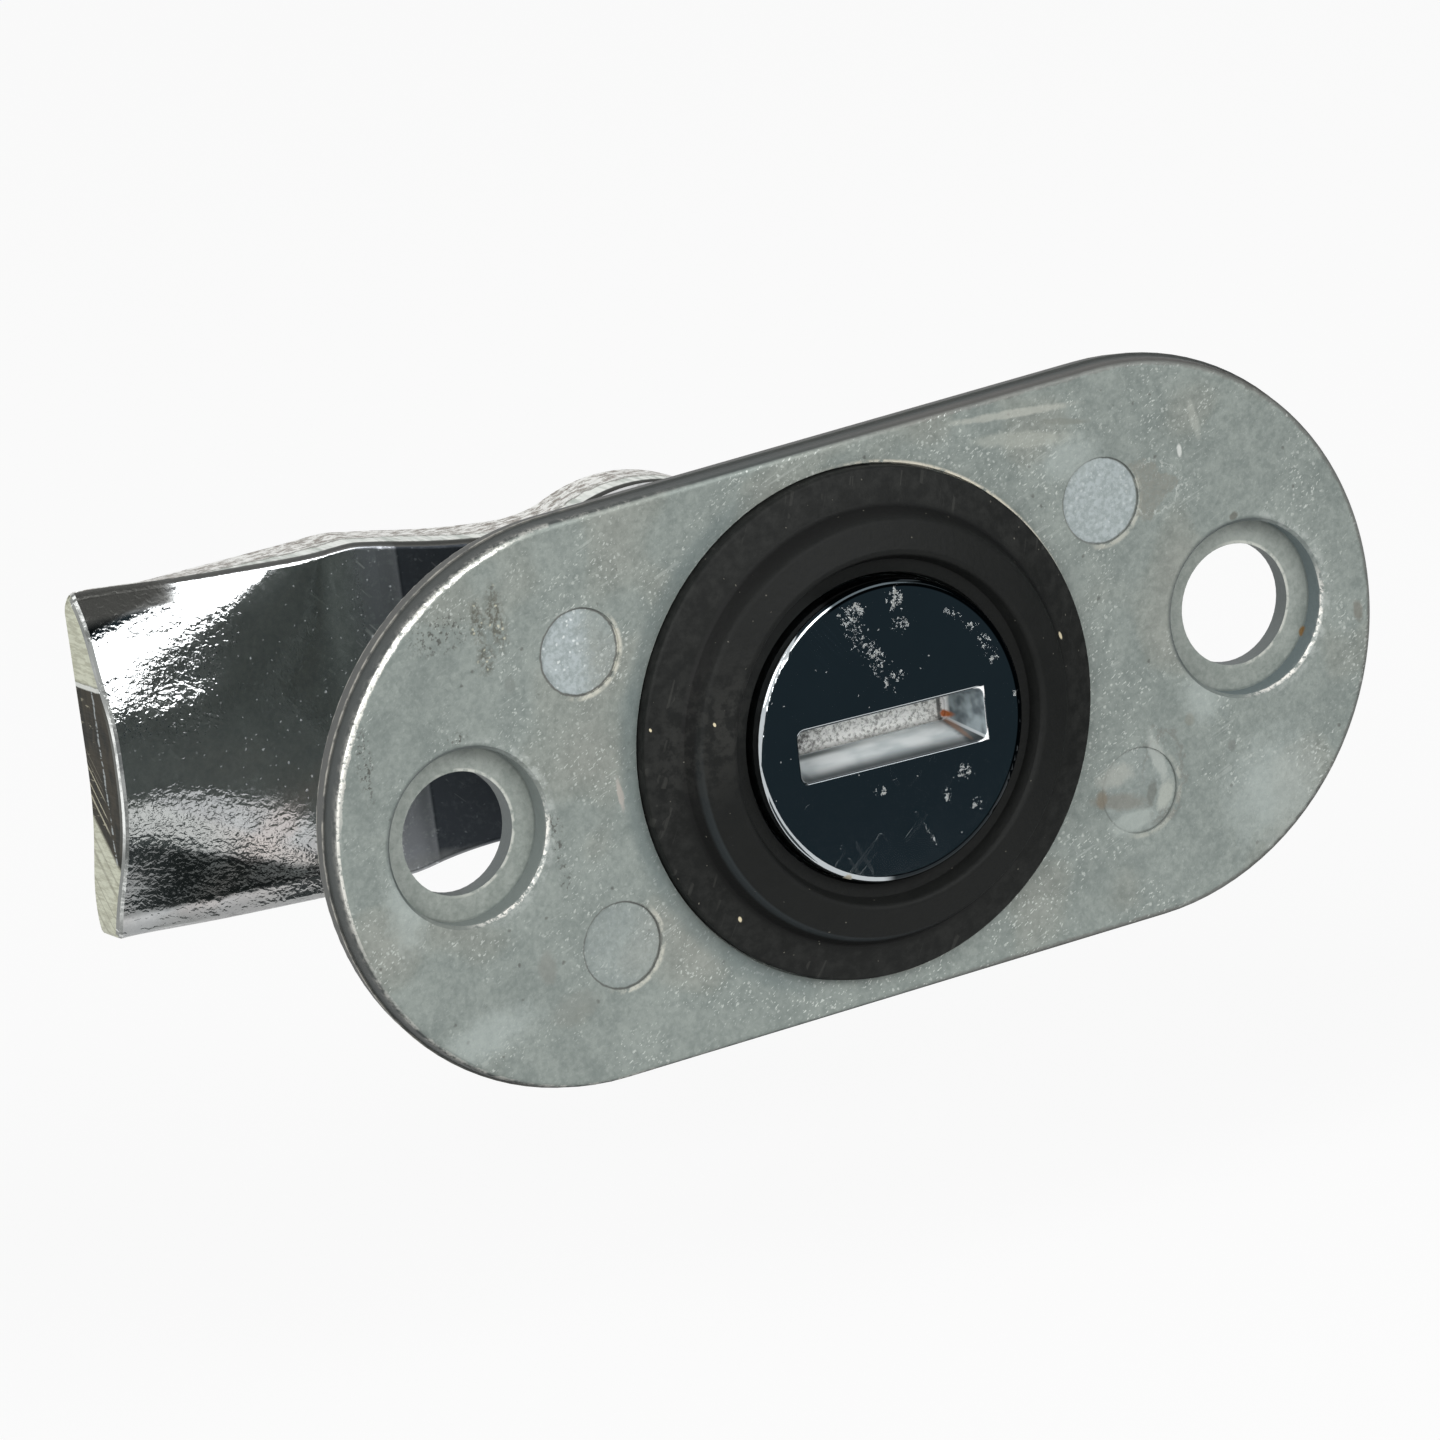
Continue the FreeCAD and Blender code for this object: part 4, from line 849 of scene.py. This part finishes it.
    ticks = noise(t, stretched(t, f.place, (0.4, 1.0, 4.6)), 1.0, 3.0, 0.6)
    mottle = noise(t, stretched(t, f.place, (1.0, 1.3, 0.5)), 1.0, 3.0, 0.6)
    dark_end = blend(t, ramp(t, mottle, 0.36, 0.62), (0.013, 0.0135, 0.009), (0.04, 0.034, 0.022))
    dark_end = blend(t, both(t, ramp(t, ticks, 0.6, 0.72), ramp(t, f.y, 29.4, 29.9)),
                     dark_end, (0.3, 0.28, 0.21))
    pale_end = blend(t, ramp(t, ticks, 0.38, 0.6), (0.4, 0.405, 0.31), (0.56, 0.575, 0.46))
    slant = plus(t, f.z, times(t, f.y, -1.25))
    low_end = plus(t, slant, 31.2)
    bare_low = ramp(t, low_end, -10.6, -11.2)
    bare = either(t, ramp(t, f.z, 6.0, 6.3), bare_low)
    f.tint(end, blend(t, bare, dark_end, pale_end))
    stripes = ramp(t, noise(t, as_place(t, low_end), 1.6), 0.5, 0.6)
    f.tint(both(t, end, bare_low, stripes), (0.15, 0.14, 0.098), 0.45)
    gouge = both(t, end, ramp(t, f.y, 29.5, 30.0), band(t, low_end, -10.4, -9.9, -6.4, -5.9),
                 ramp(t, noise(t, as_place(t, low_end), 2.4, 1.0), 0.56, 0.62))
    f.tint(gouge, (0.52, 0.49, 0.37), 0.75)
    notch = both(t, end, band(t, f.near(f.z, 0.1), 5.75, 5.85, 6.05, 6.15))
    f.tint(notch, (0.8, 0.82, 0.78), 0.8)
    middle_y = plus(t, f.y, times(t, f.waver, 0.25))
    seam = both(t, end, band(t, middle_y, 29.15, 29.24, 29.32, 29.42), ramp(t, ticks, 0.42, 0.52),
                without(t, bare))
    f.tint(seam, (0.45, 0.49, 0.5), 0.7)

    at_tip = ramp(t, f.x, -29.0, -30.5)
    tip_round = both(t, ramp(t, f.ny, -0.15, -0.35), ramp(t, f.nx, -0.22, -0.32), at_tip)
    f.tint(tip_round, (0.22, 0.23, 0.22), 0.85)
    # A painted highlight on the tip's front edge, and a dark painted reflection on the top edge's
    # rounding.
    front_edge = both(t, band(t, f.ny, -0.88, -0.8, -0.66, -0.56), ramp(t, f.nx, -0.2, -0.35), at_tip,
                      ramp(t, f.uneven, 0.38, 0.52, 0.3))
    f.tint(front_edge, (0.85, 0.87, 0.85))
    leaning = either(t, ramp(t, f.nz, 0.34, 0.44),
                     both(t, ramp(t, f.nz, 0.04, 0.12), ramp(t, f.z, 9.9, 10.3), at_tip))
    top_edge = both(t, ramp(t, f.ny, -0.15, -0.35), leaning, without(t, tip_round))
    f.tint(top_edge, (0.055, 0.055, 0.05), 0.92)

    back = ramp(t, f.ny, 0.5, 0.8)
    f.tint(both(t, back, ramp(t, cloud, 0.35, 0.7)), (0.33, 0.335, 0.325), 0.5)
    f.tint(both(t, back, scratches(t, f.place, 20.0, 0.9, 0.46)), (0.24, 0.24, 0.23), 0.6)
    washer_rub = band(t, radius_from(t, f.x, f.z), 6.0, 6.4, 7.2, 8.2)
    f.tint(both(t, back, washer_rub, ramp(t, f.uneven, 0.4, 0.6)), (0.22, 0.215, 0.2), 0.6)
    dull = either(t, rim, both(t, end, bare), dust, both(t, either(t, top_edge, tip_round), 0.9))
    f.set("Metallic", level(t, dull, 1.0, 0.35))
    roughness = level(t, film_and_shadow, 0.07, 0.14)
    roughness = level(t, dimpled, roughness, 0.12)
    roughness = level(t, either(t, back, behind_plate_shade), roughness, 0.34)
    roughness = level(t, dust, roughness, 0.5)
    f.set("Roughness", level(t, either(t, cut, top_edge), roughness, 0.42))
    f.raise_by(both(t, cut, shear), 0.04)
    f.raise_by(both(t, rim, torn_zone, torn), 0.14)
    f.raise_by(gouge, -0.04)
    return f.close()


# Plated washers and screw

def plated_steel():
    f = Finish("plated_steel")
    t = f.tree
    cloud = use(t, MOTTLE, "Value", Place=f.place, Large=0.5, Middle=0.6, Fine=0.4)
    f.colour = blend(t, ramp(t, cloud, 0.2, 0.8), (0.46, 0.47, 0.48), (0.64, 0.645, 0.64))
    yellow = ramp(t, noise(t, f.place, 0.35), 0.5, 0.72)
    f.tint(yellow, (0.62, 0.57, 0.42), 0.35)
    marks = either(t, scratches(t, f.place, 25.0, 1.6, 0.5), scratches(t, f.place, 100.0, 1.3, 0.47))
    f.tint(marks, (0.8, 0.8, 0.79), 0.5)
    grime = ramp(t, noise(t, f.place, 0.9, 4.0, 0.7), 0.58, 0.75)
    f.tint(grime, (0.16, 0.15, 0.13), 0.55)
    f.set("Metallic", level(t, both(t, grime, 0.5), 1.0, 0.5))
    f.set("Roughness", level(t, either(t, marks, grime), level(t, cloud, 0.22, 0.36), 0.48))
    r = radius_from(t, f.x, f.z)
    lathe = calc(t, "SINE", times(t, r, 24.0))
    flat = ramp(t, f.ny, 0.8, 0.95)
    f.raise_by(both(t, lathe, flat), 0.0025)
    f.raise_by(noise(t, f.place, 2.2, 3.0, 0.6), 0.018)
    f.raise_by(marks, -0.006)
    return f.close()


def spring_steel():
    f = Finish("spring_steel")
    t = f.tree
    cloud = use(t, MOTTLE, "Value", Place=f.place, Large=0.4, Middle=0.7, Fine=0.5)
    f.colour = blend(t, ramp(t, cloud, 0.2, 0.8), (0.19, 0.185, 0.18), (0.36, 0.355, 0.345))
    oil = ramp(t, noise(t, f.place, 0.7, 3.0, 0.6), 0.52, 0.72)
    f.tint(oil, (0.13, 0.115, 0.09), 0.5)
    marks = scratches(t, f.place, 15.0, 2.0, 0.5)
    f.tint(marks, (0.55, 0.55, 0.53), 0.45)
    f.set("Metallic", 1.0)
    f.set("Roughness", level(t, oil, level(t, cloud, 0.32, 0.46), 0.22))
    f.raise_by(noise(t, f.place, 3.0, 3.0, 0.6), 0.012)
    f.raise_by(marks, -0.005)
    return f.close()


def oring_rubber():
    f = Finish("oring_rubber")
    t = f.tree
    cloud = use(t, MOTTLE, "Value", Place=f.place, Large=0.4, Middle=0.6, Fine=0.4)
    f.colour = blend(t, cloud, (0.008, 0.008, 0.008), (0.02, 0.02, 0.019))
    f.tint(specks(t, f.place, 2.4, 0.12, 0.15), (0.2, 0.19, 0.16), 0.6)
    f.set("Roughness", level(t, cloud, 0.3, 0.48))
    f.raise_by(noise(t, f.place, 4.0), 0.006)
    return f.close()


# Studio

CAMERA_PLACE = (-0.51193, -0.91621, 0.29424)
CAMERA_TURN = (1.2955458, 0.1339537, -0.5401907)
CAMERA_LENS = 442.19
FLOOR_Z = -0.04
FLOOR_SIZE = 12.0
FLOOR_GLOW = 0.88
ROOM_LIGHT = 0.45
CARD_LIFT = 0.0005
WHITE = (1.0, 1.0, 1.0, 1.0)
FLAT = (0.0, 0.0, 0.0)
UPRIGHT = (math.pi / 2, 0.0, 0.0)
FACING_X = (math.pi / 2, 0.0, math.pi / 2)


def set_camera():
    data = bpy.data.cameras.new("camera")
    data.lens = CAMERA_LENS
    data.sensor_width = 36.0
    data.clip_end = 20.0
    camera = bpy.data.objects.new("camera", data)
    camera.location = CAMERA_PLACE
    camera.rotation_euler = CAMERA_TURN
    bpy.context.collection.objects.link(camera)
    bpy.context.scene.camera = camera


def background_rays(tree):
    """One for rays that see the background straight, in gloss or through glass."""
    path = add(tree, "ShaderNodeLightPath")
    seen = plus(tree, path.outputs["Is Camera Ray"], path.outputs["Is Glossy Ray"], clamp=True)
    return plus(tree, seen, path.outputs["Is Transmission Ray"], clamp=True)


def floor_material():
    """Mostly its own white to the eye and in reflections, else pale and matt."""
    material = bpy.data.materials.new("pale_floor")
    tree = empty_tree(material)
    glow = add(tree, "ShaderNodeEmission")
    glow.inputs["Color"].default_value = WHITE
    matt = add(tree, "ShaderNodeBsdfDiffuse")
    matt.inputs["Color"].default_value = (0.8, 0.8, 0.8, 1.0)
    mix = add(tree, "ShaderNodeMixShader")
    out = add(tree, "ShaderNodeOutputMaterial")
    put(tree, mix.inputs["Fac"], times(tree, background_rays(tree), FLOOR_GLOW))
    put(tree, mix.inputs[1], matt.outputs[0])
    put(tree, mix.inputs[2], glow.outputs[0])
    put(tree, out.inputs["Surface"], mix.outputs[0])
    return material


def card_material(name, colour):
    """An even dark colour that no lamp changes."""
    material = bpy.data.materials.new(name)
    tree = empty_tree(material)
    face = add(tree, "ShaderNodeEmission")
    face.inputs["Color"].default_value = (*colour, 1.0)
    out = add(tree, "ShaderNodeOutputMaterial")
    put(tree, out.inputs["Surface"], face.outputs[0])
    return material


def set_world():
    world = bpy.data.worlds.new("studio")
    tree = empty_tree(world)
    soft = add(tree, "ShaderNodeBackground")
    soft.inputs["Color"].default_value = WHITE
    soft.inputs["Strength"].default_value = ROOM_LIGHT
    white = add(tree, "ShaderNodeBackground")
    white.inputs["Color"].default_value = WHITE
    white.inputs["Strength"].default_value = 1.0
    mix = add(tree, "ShaderNodeMixShader")
    out = add(tree, "ShaderNodeOutputWorld")
    put(tree, mix.inputs["Fac"], background_rays(tree))
    put(tree, mix.inputs[1], soft.outputs[0])
    put(tree, mix.inputs[2], white.outputs[0])
    put(tree, out.inputs["Surface"], mix.outputs[0])
    bpy.context.scene.world = world


def sheet(name, centre, size, turn, material):
    bpy.ops.mesh.primitive_plane_add(size=1.0, location=centre, rotation=turn)
    obj = bpy.context.object
    obj.name = name
    obj.scale = (size[0], size[1], 1.0)
    obj.data.materials.append(material)
    return obj


def dark_card(name, centre, size, turn, material):
    """A black or grey studio card that only glossy rays see."""
    card = sheet(name, centre, size, turn, material)
    card.visible_camera = False
    card.visible_diffuse = False
    card.visible_shadow = False
    card.visible_transmission = False


def softbox(name, place, target, size, power):
    data = bpy.data.lights.new(name, "AREA")
    data.shape = "RECTANGLE"
    data.size = size[0]
    data.size_y = size[1]
    data.energy = power
    light = bpy.data.objects.new(name, data)
    light.location = place
    aim = Vector(target) - Vector(place)
    light.rotation_euler = aim.to_track_quat("-Z", "Y").to_euler()
    bpy.context.collection.objects.link(light)


def set_studio():
    bpy.context.scene.view_settings.view_transform = "Standard"
    set_camera()
    set_world()
    sheet("floor", (0.0, 0.0, FLOOR_Z), (FLOOR_SIZE, FLOOR_SIZE), FLAT, floor_material())
    black = card_material("black_card", (0.019, 0.03, 0.037))
    grey = card_material("shadow_grey_card", (0.075, 0.088, 0.088))
    lift = FLOOR_Z + CARD_LIFT
    dark_card("front_floor_card", (0.4, -0.6, lift), (1.1, 1.02), FLAT, black)
    dark_card("right_floor_card", (0.58, -0.045, lift), (1.04, 0.1), FLAT, black)
    # Grey cards under and beside the object: a painted shadow on the floor, seen only in reflections.
    dark_card("under_shadow_card", (0.02, 0.0045, lift), (0.2, 0.019), FLAT, grey)
    dark_card("near_shadow_card", (-0.036, -0.034, lift), (0.049, 0.032), FLAT, grey)
    dark_card("front_card", (0.75, -1.15, 0.06), (1.9, 0.34), UPRIGHT, black)
    dark_card("right_card", (0.95, 0.1, 0.25), (1.7, 0.9), FACING_X, black)
    dark_card("top_card", (0.35, -0.66, 1.4), (2.0, 1.5), FLAT, black)
    softbox("front_softbox", (0.352, -1.085, 0.6), (0, 0, 0), (1.05, 0.66), 10.0)
    softbox("left_softbox", (-0.85, -0.55, 0.6), (0, 0, 0), (0.5, 0.5), 7.0)


set_studio()

CAST_ZINC = cast_zinc()
PLATED_STEEL = plated_steel()
SPRING_STEEL = spring_steel()
DRESSING = {
    "housing": CAST_ZINC,
    "seal_ring": seal_rubber(),
    "driver_plug": chromed_driver(),
    "stem_oring": oring_rubber(),
    "wave_spring": SPRING_STEEL,
    "stop_washer": PLATED_STEEL,
    "cam": tongue_zinc(),
    "plain_washer": PLATED_STEEL,
    "lock_washer": SPRING_STEEL,
    "cam_screw": PLATED_STEEL,
}

for name, material in DRESSING.items():
    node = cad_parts[name]
    node.data.materials.clear()
    node.data.materials.append(material)
